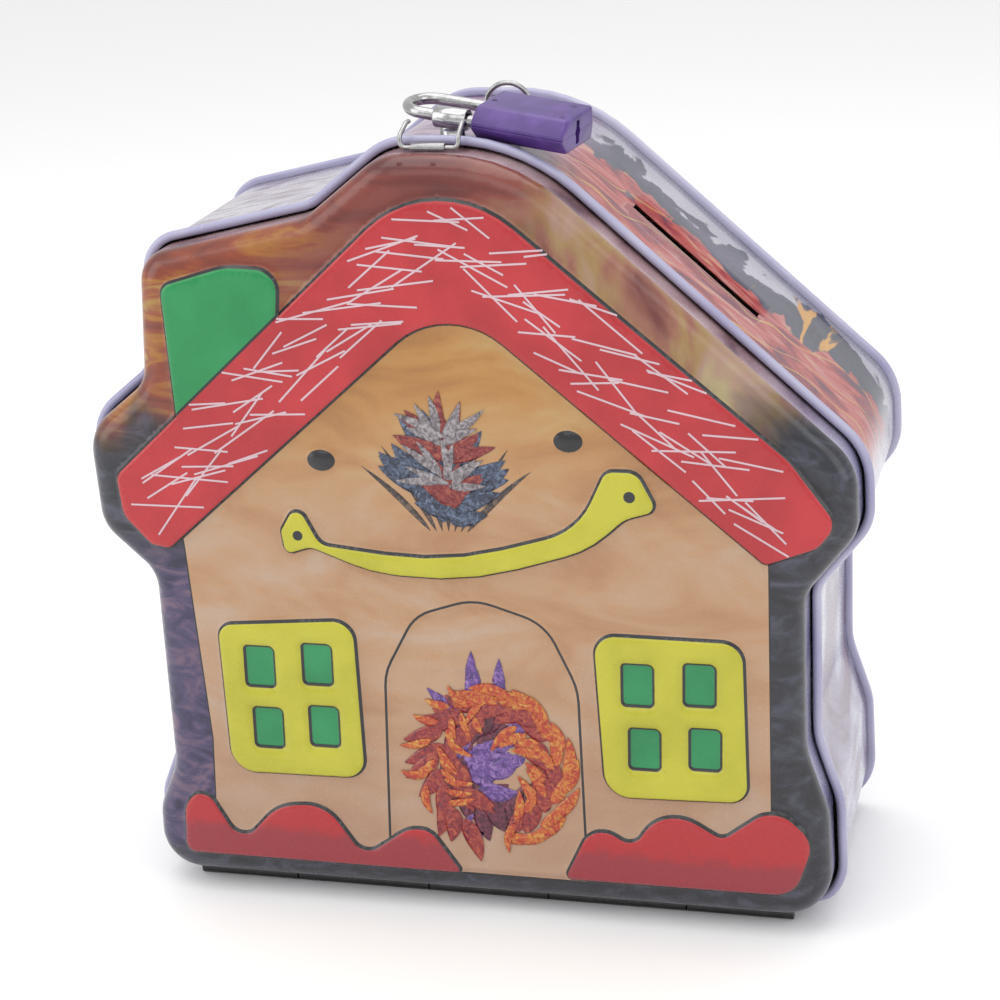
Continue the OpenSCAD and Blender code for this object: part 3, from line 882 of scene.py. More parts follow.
def lid_face_sheet(slots):
    """The lid's face: its places, triangles, the slot of each triangle, and its rim."""
    size = sizes()
    line = size.outline / MM
    lid = inset(house(LID_FOOT), SKIRT_GAP)
    rim = densify(rounded(lid), 1.4)
    loops = [rim]
    for step in (0.12, 0.4, 0.9, 1.6, 2.5, 3.5, 4.6, 5.2):
        loops.append(densify(rounded(inset(lid, step)), 1.4))
    regions = []
    for corners, fill, edge in lid_regions():
        outer = rounded(corners)
        loops.append(densify(outer, 1.0))
        width = line * (0.6 if edge == "ink_thin" else 1)
        inner = rounded(inset(corners, width)) if edge else outer
        if edge:
            loops.append(densify(inner, 1.0))
        if edge == "ink":
            loops.append(densify(rounded(inset(corners, 0.95)), 1.0))
        regions.append((outer, inner, fill, edge))
    verts = []
    edges = []
    for loop in loops:
        start = len(verts)
        verts += [Vector(p) for p in loop]
        edges += [(start + k, start + (k + 1) % len(loop)) for k in range(len(loop))]
    low = Vector((min(p.x for p in rim), min(p.y for p in rim)))
    high = Vector((max(p.x for p in rim), max(p.y for p in rim)))
    grid = []
    for i in range(int((high.x - low.x) / MESH_PITCH) + 1):
        for j in range(int((high.y - low.y) / MESH_PITCH) + 1):
            grid.append((low.x + (i + 0.5 * (j % 2)) * MESH_PITCH, low.y + j * MESH_PITCH))
    grid = np.array(grid)
    keep = distance_inside(grid, rim) > 0.4
    verts += [Vector(p) for p in grid[keep]]
    out, _, faces, _, _, _ = delaunay_2d_cdt(verts, edges, [], 0, 1e-5, False)
    places = np.array([tuple(v) for v in out])
    triangles = np.array(faces)
    middles = places[triangles].mean(1)
    inside = distance_inside(middles, rim) > 0
    triangles = triangles[inside]
    middles = middles[inside]
    marks = np.full(len(triangles), slots["border"])
    for outer, inner, fill, edge in reversed(regions):
        if edge:
            within = distance_inside(middles, outer) > 0
            marks[within] = slots["ink"]
        within = distance_inside(middles, inner) > 0
        marks[within] = slots[fill]
    return places, triangles, marks, rim


def lid_materials():
    """Materials of the lid and their slots."""
    tint = colours()
    made = {
        "border": border_print("Border landscape print"),
        "roof": plain_print("Roof red print", tint.roof, 0.1),
        "chimney": plain_print("Chimney green print", tint.chimney, 0.08),
        "wall": marbled_wall("Marbled wall print"),
        "yellow": plain_print("Window yellow print", tint.yellow, 0.06),
        "pane": plain_print("Pane green print", tint.pane, 0.1),
        "bush": bush_print("Bush red print", tint.bush, tint.bush_low),
        "ink": plain_print("Black outline print", (0.012, 0.012, 0.016), 0.1),
        "skirt": skirt_print("Lid rim print"),
        "inside": bare_tin("Lacquered inside"),
    }
    return list(made.values()), {key: i for i, key in enumerate(made)}


def rear_edge(z):
    """Y of the skirt's rear edge: short at the feet, which swing down, and long above."""
    return SHORT_SKIRT + (SKIRT_END - SHORT_SKIRT) * float(smooth_step((z - 23) / 4))


class MONEYBOX_OT_lid(Operator):
    """Pressed and printed lid with its skirt"""

    bl_idname = "money_box.lid"
    bl_label = "Lid"

    def execute(self, context):
        materials, slots = lid_materials()
        places, triangles, marks, rim = lid_face_sheet(slots)
        edge = distance_inside(places, rim)
        heights = lid_height(places, np.maximum(edge, 0))
        vertices = [(p[0], y, p[1]) for p, y in zip(places, heights)]
        faces = []
        for a, b, c in triangles:
            u, v, w = places[a], places[b], places[c]
            turn = (v[0] - u[0]) * (w[1] - u[1]) - (v[1] - u[1]) * (w[0] - u[0])
            faces.append((int(a), int(b), int(c)) if turn > 0 else (int(a), int(c), int(b)))
        face = mesh_object("lid_face", vertices, faces, materials, list(map(int, marks)))
        skirt = self.skirt(rim, materials, slots)
        lid = joined([face, skirt], "lid_print")
        with edited(lid) as shape:
            bmesh.ops.remove_doubles(shape, verts=shape.verts, dist=2e-6)
            for f in shape.faces:
                f.smooth = True
        thicken(lid, sizes().sheet, len(materials), len(materials))
        hand_over(lid, "front_lid", "printed_tin", "lid")
        self.bridge()
        return {"FINISHED"}

    def skirt(self, rim, materials, slots):
        """Side of the lid, with the small step near the bead."""
        centre = Vector((0, 80))
        shares = (0.0, 0.18, 0.36, 0.5, 0.62, 0.8, 1.0)
        rings = []
        for share in shares:
            ring = []
            for p in rim:
                end = rear_edge(p.y)
                y = RIM_PLANE + (end - RIM_PLANE) * share if share > 0.5 else RIM_PLANE + share * 8
                ring.append((p.x, min(y, end), p.y))
            rings.append(ring)
        obj = rings_mesh("lid_skirt", rings, materials, caps=False)
        obj.data.polygons.foreach_set("material_index", [slots["skirt"]] * len(obj.data.polygons))
        with edited(obj) as shape:
            for f in shape.faces:
                middle = f.calc_center_median() / MM
                out = Vector((middle.x, middle.z)) - centre
                if f.normal.x * out.x + f.normal.z * out.y < 0:
                    f.normal_flip()
        return obj

    def bridge(self):
        """Pressed strap over the bail's bar."""
        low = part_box("bail")[0]
        centre_y = low.y / MM + 0.45
        centre_z = low.z / MM + 0.45
        # Tone below that of bare steel: painted dark reflection.
        steel = bright_steel("Strap steel", 0.36)
        steps = 18
        rings = []
        for x in (-6.6, -6.5, -0.3, -0.2):
            pinch = 0.05 if x in (-6.6, -0.2) else 0
            ring = []
            for k in range(steps + 1):
                a = math.radians(-20 + 220 * k / steps)
                r = 0.9 - pinch
                ring.append((x, centre_y - r * math.cos(a), centre_z + r * math.sin(a)))
            for k in range(steps, -1, -1):
                a = math.radians(-20 + 220 * k / steps)
                r = 0.55 + pinch
                ring.append((x, centre_y - r * math.cos(a), centre_z + r * math.sin(a)))
            rings.append(ring)
        strap = face_outwards(rings_mesh("bail_bridge", rings, [steel]))
        hand_over(strap, "front_lid", "printed_tin")


# Reach of the straws' middles to each side of the rail, and their width, in millimetres
STRAW_SPREAD = 6.6
STRAW_WIDTH = 0.36


class MONEYBOX_OT_straws(Operator):
    """Straw lines printed on the roof"""

    bl_idname = "money_box.straws"
    bl_label = "Straw lines"

    def execute(self, context):
        tint = colours()
        paint = plain_print("Straw line print", tint.straw, 0.04)
        rail = self.rail()
        tree = self.tree(paint)
        modifier = rail.modifiers.new("Straws", "NODES")
        modifier.node_group = tree
        inputs = {
            item.name: item.identifier
            for item in tree.interface.items_tree
            if item.item_type == "SOCKET" and item.in_out == "INPUT"
        }
        modifier[inputs["Count"]] = sizes().straws
        modifier[inputs["Seed"]] = sizes().straw_seed
        modifier[inputs["Spread"]] = STRAW_SPREAD * MM
        modifier[inputs["Width"]] = STRAW_WIDTH * MM
        graph = bpy.context.evaluated_depsgraph_get()
        graph.update()
        mesh = bpy.data.meshes.new_from_object(rail.evaluated_get(graph))
        bpy.data.objects.remove(rail)
        straws = linked("roof_straws", mesh)
        hand_over(straws, "front_lid", "printed_tin")
        return {"FINISHED"}

    def rail(self):
        """Middle line of the roof's print, on the pressed surface."""
        path = bent([(-59.5, 0, 85.2), (0.6, 0, 139.6), (61, 0, 85.8)], 13, 10)
        curve = bpy.data.curves.new("roof_rail", "CURVE")
        curve.dimensions = "3D"
        line = curve.splines.new("POLY")
        line.points.add(len(path) - 1)
        for point, p in zip(line.points, path):
            point.co = (p.x * MM, (EMBOSS_FRONT - 0.02) * MM, p.z * MM, 1)
        obj = linked("roof_rail", curve)
        return obj

    def tree(self, paint):
        """Lines at random turns and places along a rail, kept within the print's width."""
        tree = bpy.data.node_groups.new("Straw lines", "GeometryNodeTree")
        face = tree.interface
        kinds = {"Geometry": "Geometry", "Count": "Int", "Seed": "Int", "Spread": "Float", "Width": "Float"}
        for name, kind in kinds.items():
            face.new_socket(name, in_out="INPUT", socket_type="NodeSocket" + kind)
        face.new_socket("Geometry", in_out="OUTPUT", socket_type="NodeSocketGeometry")
        new = tree.nodes.new
        link = tree.links.new
        source = new("NodeGroupInput")
        sink = new("NodeGroupOutput")

        resample = new("GeometryNodeResampleCurve")
        link(source.outputs["Geometry"], resample.inputs["Curve"])
        link(source.outputs["Count"], resample.inputs["Count"])
        points = new("GeometryNodeCurveToPoints")
        points.mode = "EVALUATED"
        link(resample.outputs["Curve"], points.inputs["Curve"])

        def random_value(low, high, offset):
            """A seeded random value per line."""
            node = new("FunctionNodeRandomValue")
            node.data_type = "FLOAT"
            node.inputs[2].default_value = low
            node.inputs[3].default_value = high
            add = new("ShaderNodeMath")
            add.operation = "ADD"
            link(source.outputs["Seed"], add.inputs[0])
            add.inputs[1].default_value = offset
            link(add.outputs[0], node.inputs["Seed"])
            return node.outputs[1]

        def value(operation, a, b=0.0):
            """The result of a Math node."""
            node = new("ShaderNodeMath")
            node.operation = operation
            for socket, item in ((node.inputs[0], a), (node.inputs[1], b)):
                if isinstance(item, bpy.types.NodeSocket):
                    link(item, socket)
                else:
                    socket.default_value = item
            return node.outputs[0]

        # Place across the roof, along the rail's normal in the plane of the lid
        across = random_value(-1, 1, 11)
        tangent = new("ShaderNodeSeparateXYZ")
        link(points.outputs["Tangent"], tangent.inputs[0])
        shift = value("MULTIPLY", across, source.outputs["Spread"])
        offset = new("ShaderNodeCombineXYZ")
        sideways = value("MULTIPLY", tangent.outputs["Z"], -1)
        link(value("MULTIPLY", sideways, shift), offset.inputs["X"])
        link(value("MULTIPLY", random_value(0, 0.05 * MM, 41), -1), offset.inputs["Y"])
        link(value("MULTIPLY", tangent.outputs["X"], shift), offset.inputs["Z"])
        moved = new("GeometryNodeSetPosition")
        link(points.outputs["Points"], moved.inputs["Geometry"])
        link(offset.outputs[0], moved.inputs["Offset"])

        # Turn against the roof's slope, and the length that stays within the print
        lean = random_value(-0.55, 0.55, 23)
        slope = value("ARCTAN2", tangent.outputs["Z"], tangent.outputs["X"])
        heading = value("ADD", value("MULTIPLY", slope, 0.55), lean)
        angle = value("MULTIPLY", heading, -1)
        turn = new("ShaderNodeCombineXYZ")
        link(angle, turn.inputs["Y"])
        room = value("SUBTRACT", 8.2 * MM, value("ABSOLUTE", shift))
        off = value("ABSOLUTE", value("SINE", value("SUBTRACT", heading, slope)))
        reach = value("DIVIDE", room, value("MAXIMUM", off, 0.2))
        half = value("MINIMUM", reach, random_value(4 * MM, 8 * MM, 31))
        size = new("ShaderNodeCombineXYZ")
        link(value("MULTIPLY", half, 2), size.inputs["X"])
        size.inputs["Y"].default_value = 0.06 * MM
        link(source.outputs["Width"], size.inputs["Z"])

        bar = new("GeometryNodeMeshCube")
        bar.inputs["Size"].default_value = (1, 1, 1)
        spread = new("GeometryNodeInstanceOnPoints")
        link(moved.outputs["Geometry"], spread.inputs["Points"])
        link(bar.outputs["Mesh"], spread.inputs["Instance"])
        link(turn.outputs[0], spread.inputs["Rotation"])
        link(size.outputs[0], spread.inputs["Scale"])
        real = new("GeometryNodeRealizeInstances")
        link(spread.outputs["Instances"], real.inputs["Geometry"])
        finish = new("GeometryNodeSetMaterial")
        finish.inputs["Material"].default_value = paint
        link(real.outputs["Geometry"], finish.inputs["Geometry"])
        link(finish.outputs["Geometry"], sink.inputs["Geometry"])
        return tree


# ---------------------------------------------------------------- prints on the lid

# Thickness of the leaves' print, in millimetres
INK_THICKNESS = 0.05


def leaf(start, angle, length, width, curl=0.0, taper=0.75, steps=14):
    """A curved leaf on the lid: its cross rows, as places in the lid's plane."""
    rows = []
    x, z = start
    heading = math.radians(angle)
    step = length / steps
    for k in range(steps + 1):
        t = k / steps
        half = width / 2 * math.sin(math.pi * min(1, t ** taper)) ** 0.8 if 0 < t < 1 else 0.02
        side = (-math.sin(heading), math.cos(heading))
        rows.append([(x + side[0] * half * s, z + side[1] * half * s) for s in (-1, -0.4, 0.4, 1)])
        x += math.cos(heading) * step
        z += math.sin(heading) * step
        heading += math.radians(curl) / steps
    return rows


def printed_leaves(name, leaves, material, layer):
    """Thin prints of leaves that follow the lid's pressed face."""
    places = []
    faces = []
    lifts = []
    for number, rows in enumerate(leaves):
        start = len(places)
        for row in rows:
            places += row
            lifts += [0.02 + 0.06 * layer + 0.004 * number] * len(row)
        across = len(rows[0])
        for i in range(len(rows) - 1):
            for k in range(across - 1):
                a = start + i * across + k
                faces.append((a, a + across, a + across + 1, a + 1))
    flat = np.array(places)
    height = lid_height(flat, np.full(len(flat), 30.0))
    vertices = [(p[0], y - lift, p[1]) for p, y, lift in zip(flat, height, lifts)]
    obj = mesh_object(name, vertices, faces, [material])
    with edited(obj) as shape:
        for f in shape.faces:
            if f.normal.y > 0:
                f.normal_flip()
    thicken(obj, INK_THICKNESS * MM)
    hand_over(obj, "front_lid", "printed_tin")
    return obj


class MONEYBOX_OT_bouquet(Operator):
    """Spray of leaves printed in the gable"""

    bl_idname = "money_box.bouquet"
    bl_label = "Gable bouquet"

    def execute(self, context):
        slate = leaf_print("Slate leaf print", [
            (0.36, (0.012, 0.014, 0.03)), (0.5, (0.05, 0.07, 0.13)), (0.66, (0.2, 0.26, 0.4)),
        ])
        ash = leaf_print("Ash leaf print", [
            (0.36, (0.1, 0.08, 0.09)), (0.5, (0.3, 0.26, 0.28)), (0.64, (0.55, 0.5, 0.52)),
        ])
        wine = leaf_print("Wine leaf print", [
            (0.36, (0.1, 0.008, 0.012)), (0.5, (0.3, 0.02, 0.025)), (0.66, (0.5, 0.14, 0.08)),
        ])
        bark = leaf_print("Bark print", [
            (0.36, (0.02, 0.014, 0.016)), (0.5, (0.07, 0.045, 0.04)), (0.66, (0.26, 0.17, 0.12)),
        ])
        order = random.Random(11)

        def spray(root, count, first, last, length, width):
            """Leaves that fan out from a root."""
            return [
                leaf(
                    (root[0] + order.uniform(-1.2, 1.2), root[1] + order.uniform(-1.5, 1.5)),
                    first + (last - first) * k / (count - 1) + order.uniform(-7, 7),
                    length * order.uniform(0.75, 1.2), width, order.uniform(-30, 30),
                )
                for k in range(count)
            ]

        root = (-2, 80)
        printed_leaves("gable_stems", [
            leaf((root[0] + 1.2 * k, root[1]), 90 - 13 * k, 22 - 1.4 * abs(k), 1.3, -5 * k)
            for k in range(-3, 4)
        ], bark, 0)
        printed_leaves("gable_slate_leaves", [
            *spray((-2, 88), 15, 5, 175, 13, 4.2), *spray((-2, 83), 11, 20, 160, 9, 3.2),
        ], slate, 1)
        printed_leaves("gable_wine_leaves", [
            *spray((-2, 95), 11, 10, 170, 10, 2.8), *spray((-1.6, 86), 8, 30, 150, 7, 2.2),
        ], wine, 2)
        printed_leaves("gable_ash_leaves", [
            *spray((-2, 98), 9, 15, 165, 9, 1.8), *spray((-2, 90), 9, 0, 180, 8, 1.6),
        ], ash, 3)
        return {"FINISHED"}


class MONEYBOX_OT_wreath(Operator):
    """Wreath of flame-like leaves printed on the door"""

    bl_idname = "money_box.wreath"
    bl_label = "Door wreath"

    def execute(self, context):
        flame = leaf_print("Flame leaf print", [
            (0.3, (0.34, 0.02, 0.012)), (0.46, (0.62, 0.06, 0.02)), (0.58, (0.74, 0.25, 0.03)),
            (0.7, (0.82, 0.5, 0.12)),
        ])
        ember = leaf_print("Ember leaf print", [
            (0.32, (0.1, 0.008, 0.02)), (0.48, (0.36, 0.02, 0.03)), (0.64, (0.58, 0.12, 0.05)),
        ])
        violet = leaf_print("Violet leaf print", [
            (0.32, (0.035, 0.03, 0.12)), (0.48, (0.16, 0.06, 0.33)), (0.64, (0.42, 0.24, 0.6)),
        ])
        dusk = leaf_print("Dusk leaf print", [
            (0.34, (0.03, 0.006, 0.02)), (0.5, (0.13, 0.012, 0.04)), (0.66, (0.3, 0.05, 0.1)),
        ])
        centre = (4.5, 31.5)

        def round_the_ring(first, last, count, radius, length, width, tilt, curl, seed):
            """Leaves that follow an arc of the wreath, each turned off its tangent."""
            order = random.Random(seed)
            made = []
            for k in range(count):
                a = math.radians(first + (last - first) * k / max(1, count - 1))
                r = radius + order.uniform(-1.2, 1.2)
                at = (centre[0] + r * math.cos(a), centre[1] + r * 1.12 * math.sin(a))
                heading = math.degrees(a) + 90 + tilt * order.uniform(0.5, 1.5)
                made.append(leaf(at, heading, length * order.uniform(0.75, 1.25), width, curl))
            return made

        printed_leaves("wreath_dark_leaves", [
            *round_the_ring(70, 300, 26, 9.5, 8, 4.2, 40, 24, 21),
            *round_the_ring(150, 260, 10, 6, 7, 4, -60, 30, 22),
        ], dusk, 0)
        printed_leaves("wreath_violet_leaves", [
            *round_the_ring(20, 200, 12, 5.5, 7, 2.8, 60, 30, 23),
            leaf((2, 42), 100, 14, 3.4, -12), leaf((5, 43), 78, 12, 3, 10),
            leaf((-2, 40), 120, 10, 3, 20), leaf((7, 36), 60, 11, 3.6, 20),
            leaf((3, 30), 20, 8, 4, 40), leaf((1, 27), 340, 8, 3.8, 40),
            leaf((0, 22), 300, 7, 2.2, 120), leaf((1.6, 17.4), 200, 7, 1.8, -190),
            leaf((-3, 33), 75, 9, 3, -20),
        ], violet, 1)
        printed_leaves("wreath_ember_leaves", [
            *round_the_ring(95, 235, 12, 11.5, 8, 3.6, -28, -20, 3),
            *round_the_ring(-80, 70, 12, 12, 8.5, 3.4, 30, 26, 5),
            *round_the_ring(100, 220, 14, 9, 6.5, 2.6, 30, -20, 6),
        ], ember, 2)
        printed_leaves("wreath_flame_leaves", [
            *round_the_ring(-85, 95, 17, 13.2, 8.5, 2.6, -18, 36, 9),
            *round_the_ring(-70, 60, 10, 10.6, 6.5, 2.0, 42, 30, 12),
            *round_the_ring(110, 175, 5, 13, 6, 1.8, -40, -40, 14),
            leaf((-9, 30), 215, 6, 2, -70), leaf((-9.5, 27), 250, 6.5, 1.8, 60),
            leaf((8, 20), 230, 7, 1.7, 60),
            *round_the_ring(100, 215, 12, 11, 5, 1.5, 50, 40, 15),
        ], flame, 3)
        return {"FINISHED"}


# ---------------------------------------------------------------- band and back

SLOT_MIDDLE = (41, 125.6)
SLOT_TURN = math.atan2(151.4 - 95.1, 74.6 - 12.5)
SLOT_DEPTH = 19


def band_loop():
    """Points of the band's outline, with two at the ends of the coin slot."""
    loop = densify(rounded(house(BAND_FOOT), 7), 4)
    half = sizes().slot_length / MM / 2
    along = Vector((math.cos(SLOT_TURN), -math.sin(SLOT_TURN)))
    for s in (-1, 1):
        end = Vector(SLOT_MIDDLE) + along * half * s
        for i, p in enumerate(loop):
            q = loop[(i + 1) % len(loop)]
            t = (end - p).dot(q - p) / max((q - p).length_squared, 1e-9)
            if 0 < t < 1 and (p.lerp(q, t) - end).length < 0.3:
                loop.insert(i + 1, p.lerp(q, t))
                break
    return loop


def grown(loop, distance):
    """A clockwise closed loop moved outwards along its corners' bisectors."""
    out = []
    for i, p in enumerate(loop):
        a = (p - loop[i - 1]).normalized()
        b = (loop[(i + 1) % len(loop)] - p).normalized()
        normal = Vector((-a.y, a.x)) + Vector((-b.y, b.x))
        out.append(p + normal.normalized() * distance)
    return out


def band_rows(loop, profile):
    """Rings in space from a loop and a profile of (distance out, y)."""
    return [[(p.x, y, p.y) for p in grown(loop, out)] for out, y in profile]


class MONEYBOX_OT_band(Operator):
    """Band with its bead and coin slot, and the seamed back"""

    bl_idname = "money_box.band"
    bl_label = "Band and back"

    def execute(self, context):
        print_skin = band_print("Band scroll print")
        bead = lilac_bead("Lilac bead print")
        inside = bare_tin("Band inside")
        loop = band_loop()
        self.band(loop, print_skin, inside)
        self.bead(loop, bead)
        self.back(loop, bead, print_skin, inside)
        return {"FINISHED"}

    def band(self, loop, skin, inside):
        """Bent strip with the slot cut in the right slope of the roof."""
        half = sizes().slot_width / MM / 2
        slot_y = BEAD_FRONT + SLOT_DEPTH
        levels = [
            BEAD_FRONT + 0.6, BEAD_FRONT + 3, slot_y - 8, slot_y - half,
            slot_y + half, slot_y + 10, BACK_PLANE - 6, BACK_PLANE - 0.5,
        ]
        rings = [[(p.x, y, p.y) for p in loop] for y in levels]
        obj = rings_mesh("band_strip", rings, [skin, inside], caps=False)
        with edited(obj) as shape:
            along = Vector((math.cos(SLOT_TURN), -math.sin(SLOT_TURN)))
            reach = sizes().slot_length / 2
            gone = []
            for f in shape.faces:
                c = f.calc_center_median()
                d = Vector((c.x, c.z)) - Vector(SLOT_MIDDLE) * MM
                level = abs(c.y - slot_y * MM) < half * MM
                if level and abs(d.dot(along)) < reach and d.length < reach * 1.1:
                    gone.append(f)
            bmesh.ops.delete(shape, geom=gone, context="FACES")
            middle = Vector((0, 0, 75 * MM))
            bmesh.ops.recalc_face_normals(shape, faces=shape.faces)
            top = max(shape.faces, key=lambda f: f.calc_center_median().z)
            if top.normal.dot(top.calc_center_median() - middle) < 0:
                bmesh.ops.reverse_faces(shape, faces=shape.faces)
        thicken(obj, sizes().sheet, 1)
        hand_over(obj, "tin", "printed_tin", "body_band")

    def bead(self, loop, material):
        """Curled front edge, which runs out at the lower corners."""
        sides = 16
        rings = []
        for k in range(sides):
            a = 2 * math.pi * k / sides
            ring = []
            for p, q in zip(loop, grown(loop, 1)):
                normal = q - p
                full = float(smooth_step((p.y - 1.5) / 4))
                out = (0.5 + 0.9 * math.cos(a)) * full + (-0.12 + 0.1 * math.cos(a)) * (1 - full)
                deep = 1.05 + math.sin(a) * (0.35 + 0.65 * full)
                at = p + normal * out
                ring.append((at.x, BEAD_FRONT + deep, at.y))
            rings.append(ring)
        obj = face_outwards(rings_mesh("front_bead", rings, [material], closed=True))
        hand_over(obj, "tin", "printed_tin")

    def back(self, loop, bead, skin, inside):
        """Back plate, sunk in its seam."""
        end = BACK_PLANE
        seam = [
            (-0.35, end - 2.0), (-0.35, end - 0.5), (-0.1, end - 0.08), (0.4, end),
            (0.95, end - 0.08), (1.3, end - 0.45), (1.4, end - 1), (1.4, end - 1.7),
            (1.25, end - 2.1), (0.9, end - 2.3),
            (0.25, end - 2.3), (-0.2, end - 2.3),
        ]
        ring = face_outwards(rings_mesh("back_seam", band_rows(loop, seam), [bead], closed=True))
        rows = band_rows(loop, [(-0.35, end - 1.2), (-1.1, end - 1.75), (-1.6, end - 1.95)])
        plate = rings_mesh("back_plate", rows, [skin, inside], caps=False)
        with edited(plate) as shape:
            rim = sorted(shape.verts, key=lambda v: v.index)[-len(loop):]
            shape.faces.new(rim)
            bmesh.ops.recalc_face_normals(shape, faces=shape.faces)
            widest = max(shape.faces, key=lambda f: f.calc_area())
            if widest.normal.y < 0:
                bmesh.ops.reverse_faces(shape, faces=shape.faces)
            bmesh.ops.triangulate(shape, faces=[widest])
        thicken(plate, sizes().sheet, 1)
        hand_over(ring, "tin", "printed_tin")
        hand_over(plate, "tin", "printed_tin", "back_panel")


# ---------------------------------------------------------------- fittings

def from_frame(node, name, material, body, slot):
    """A merged copy of a CAD node in a finish of its own."""
    obj = linked(name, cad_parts[node].data.copy())
    obj.data.materials.clear()
    obj.data.materials.append(material)
    with edited(obj) as shape:
        bmesh.ops.remove_doubles(shape, verts=shape.verts, dist=1e-7)
        bmesh.ops.dissolve_limit(shape, angle_limit=0.02, verts=shape.verts, edges=shape.edges)
        for f in shape.faces:
            f.smooth = True
            f.material_index = 0
        for e in shape.edges:
            e.smooth = len(e.link_faces) == 2 and e.calc_face_angle(0) < 0.6
    hand_over(obj, body, slot, node)
    return obj


class MONEYBOX_OT_hinge(Operator):
    """Leaves and wire of the hinge under the lid"""

    bl_idname = "money_box.hinge"
    bl_label = "Hinge"

    def execute(self, context):
        dark = bright_steel("Blackened steel", 0.07, 0.3, 0.5)
        steel = bright_steel("Hinge wire steel", 0.6)
        from_frame("hinge_leaf_body", "hinge_fixed_leaf", dark, "tin", "dark_steel")
        from_frame("hinge_leaf_lid", "hinge_lid_leaf", dark, "front_lid", "dark_steel")
        from_frame("hinge_pin", "hinge_wire", steel, "tin", "bright_steel")
        return {"FINISHED"}


def from_front(points):
    """Points whose y counts from the bead's front plane, in the frame."""
    return [(x, y + BEAD_FRONT, z) for x, y, z in points]


# Middle of the eye, y from the bead's front plane, and how the eye and the padlock are turned
EYE = (-1.1, 5.6, 155.0)
EYE_TURN = Euler((0, math.radians(5), math.radians(-8)))
LOCK_TURN = Euler((math.radians(5), math.radians(7), math.radians(-12)))


def in_lock(x, y, z):
    """A place on the padlock: x along its legs, y across them, z through it."""
    place = Vector((x, y, z))
    place.rotate(LOCK_TURN)
    return tuple(place + Vector((EYE[0], EYE[1] + BEAD_FRONT, EYE[2])))


class MONEYBOX_OT_fittings(Operator):
    """Bail, eye and wire loop on the ridge"""

    bl_idname = "money_box.fittings"
    bl_label = "Wire fittings"

    def execute(self, context):
        # Default tone below that of bare nickel: painted dark reflection.
        steel = bright_steel("Nickelled wire")
        self.bail(steel)
        # Tone below that of bare steel: painted dark reflection.
        self.eye(bright_steel("Rolled eye steel", 0.48, 0.1, 0.24))
        arch = bent([
            (0.7, 23, 147.2), (0.7, 23, 158.3), (9.3, 23, 158.3), (9.3, 23, 147.2),
        ], 4.25, 14)
        loop = wire("ridge_loop", from_front(arch), 0.5, steel)
        hand_over(loop, "tin", "bright_steel", "roof_loop")
        return {"FINISHED"}

    def bail(self, steel):
        """Clip of thin wire from the lid's strap over the bead."""
        path = bent([
            (-8.0, 1.2, 155.3), (-8.1, -0.4, 155.3), (-8.7, -2.9, 153.4), (-8.6, -3, 151.3),
            (2.2, -3, 151.3), (2.3, -2.9, 153.4), (2.45, -0.4, 155.3), (2.45, 1.2, 155.3),
        ], 1.0)
        obj = wire("bail_wire", from_front(path), 0.44, steel)
        hand_over(obj, "bail_clip", "bright_steel", "bail")

    def eye(self, steel):
        """Sheet rolled into an eye, with its neck in the ridge."""
        half = 3.2
        sides = 40
        profile = [
            (-half + 0.15, 2.0), (half - 0.15, 2.0), (half, 1.88), (half, 1.76),
            (half - 0.1, 1.7), (-half + 0.1, 1.7), (-half, 1.76), (-half, 1.88),
        ]
        rings = []
        for k in range(sides):
            a = 2 * math.pi * k / sides
            ring = []
            for x, r in profile:
                local = Vector((x, r * math.cos(a), r * math.sin(a)))
                local.rotate(EYE_TURN)
                ring.append(tuple(local + Vector((EYE[0], EYE[1] + BEAD_FRONT, EYE[2]))))
            rings.append(ring)
        tube = face_outwards(rings_mesh("eye_tube", rings, [steel], closed=True))
        neck_rows = []
        around = ((-1, -1), (-0.2, -1), (0.2, -1), (1, -1), (1, 1), (0.2, 1), (-0.2, 1), (-1, 1))
        for z, half_x, half_y in [
            (153.35, 2.2, 0.42), (153.0, 2.2, 0.36), (152.0, 2.3, 0.36),
            (151.7, 2.5, 0.6), (151.45, 2.6, 0.95), (150.9, 2.6, 0.34),
            (150.75, 2.6, 0.34), (150.62, 2.3, 1.6), (150.5, 2.3, 1.6),
        ]:
            neck_rows.append([
                (EYE[0] + sx * half_x, EYE[1] + BEAD_FRONT + sy * half_y, z) for sx, sy in around
            ])
        neck = face_outwards(rings_mesh("eye_neck", neck_rows, [steel]))
        eye = joined([tube, neck], "ridge_eye")
        hand_over(eye, "tin", "bright_steel", "eye_staple")


# Padlock: start and length of the case along the legs, half its thickness, and between the legs
CASE_START = 4.8
CASE_LENGTH = 18.4
CASE_HALF = 3.15
LEG_GAP = 9


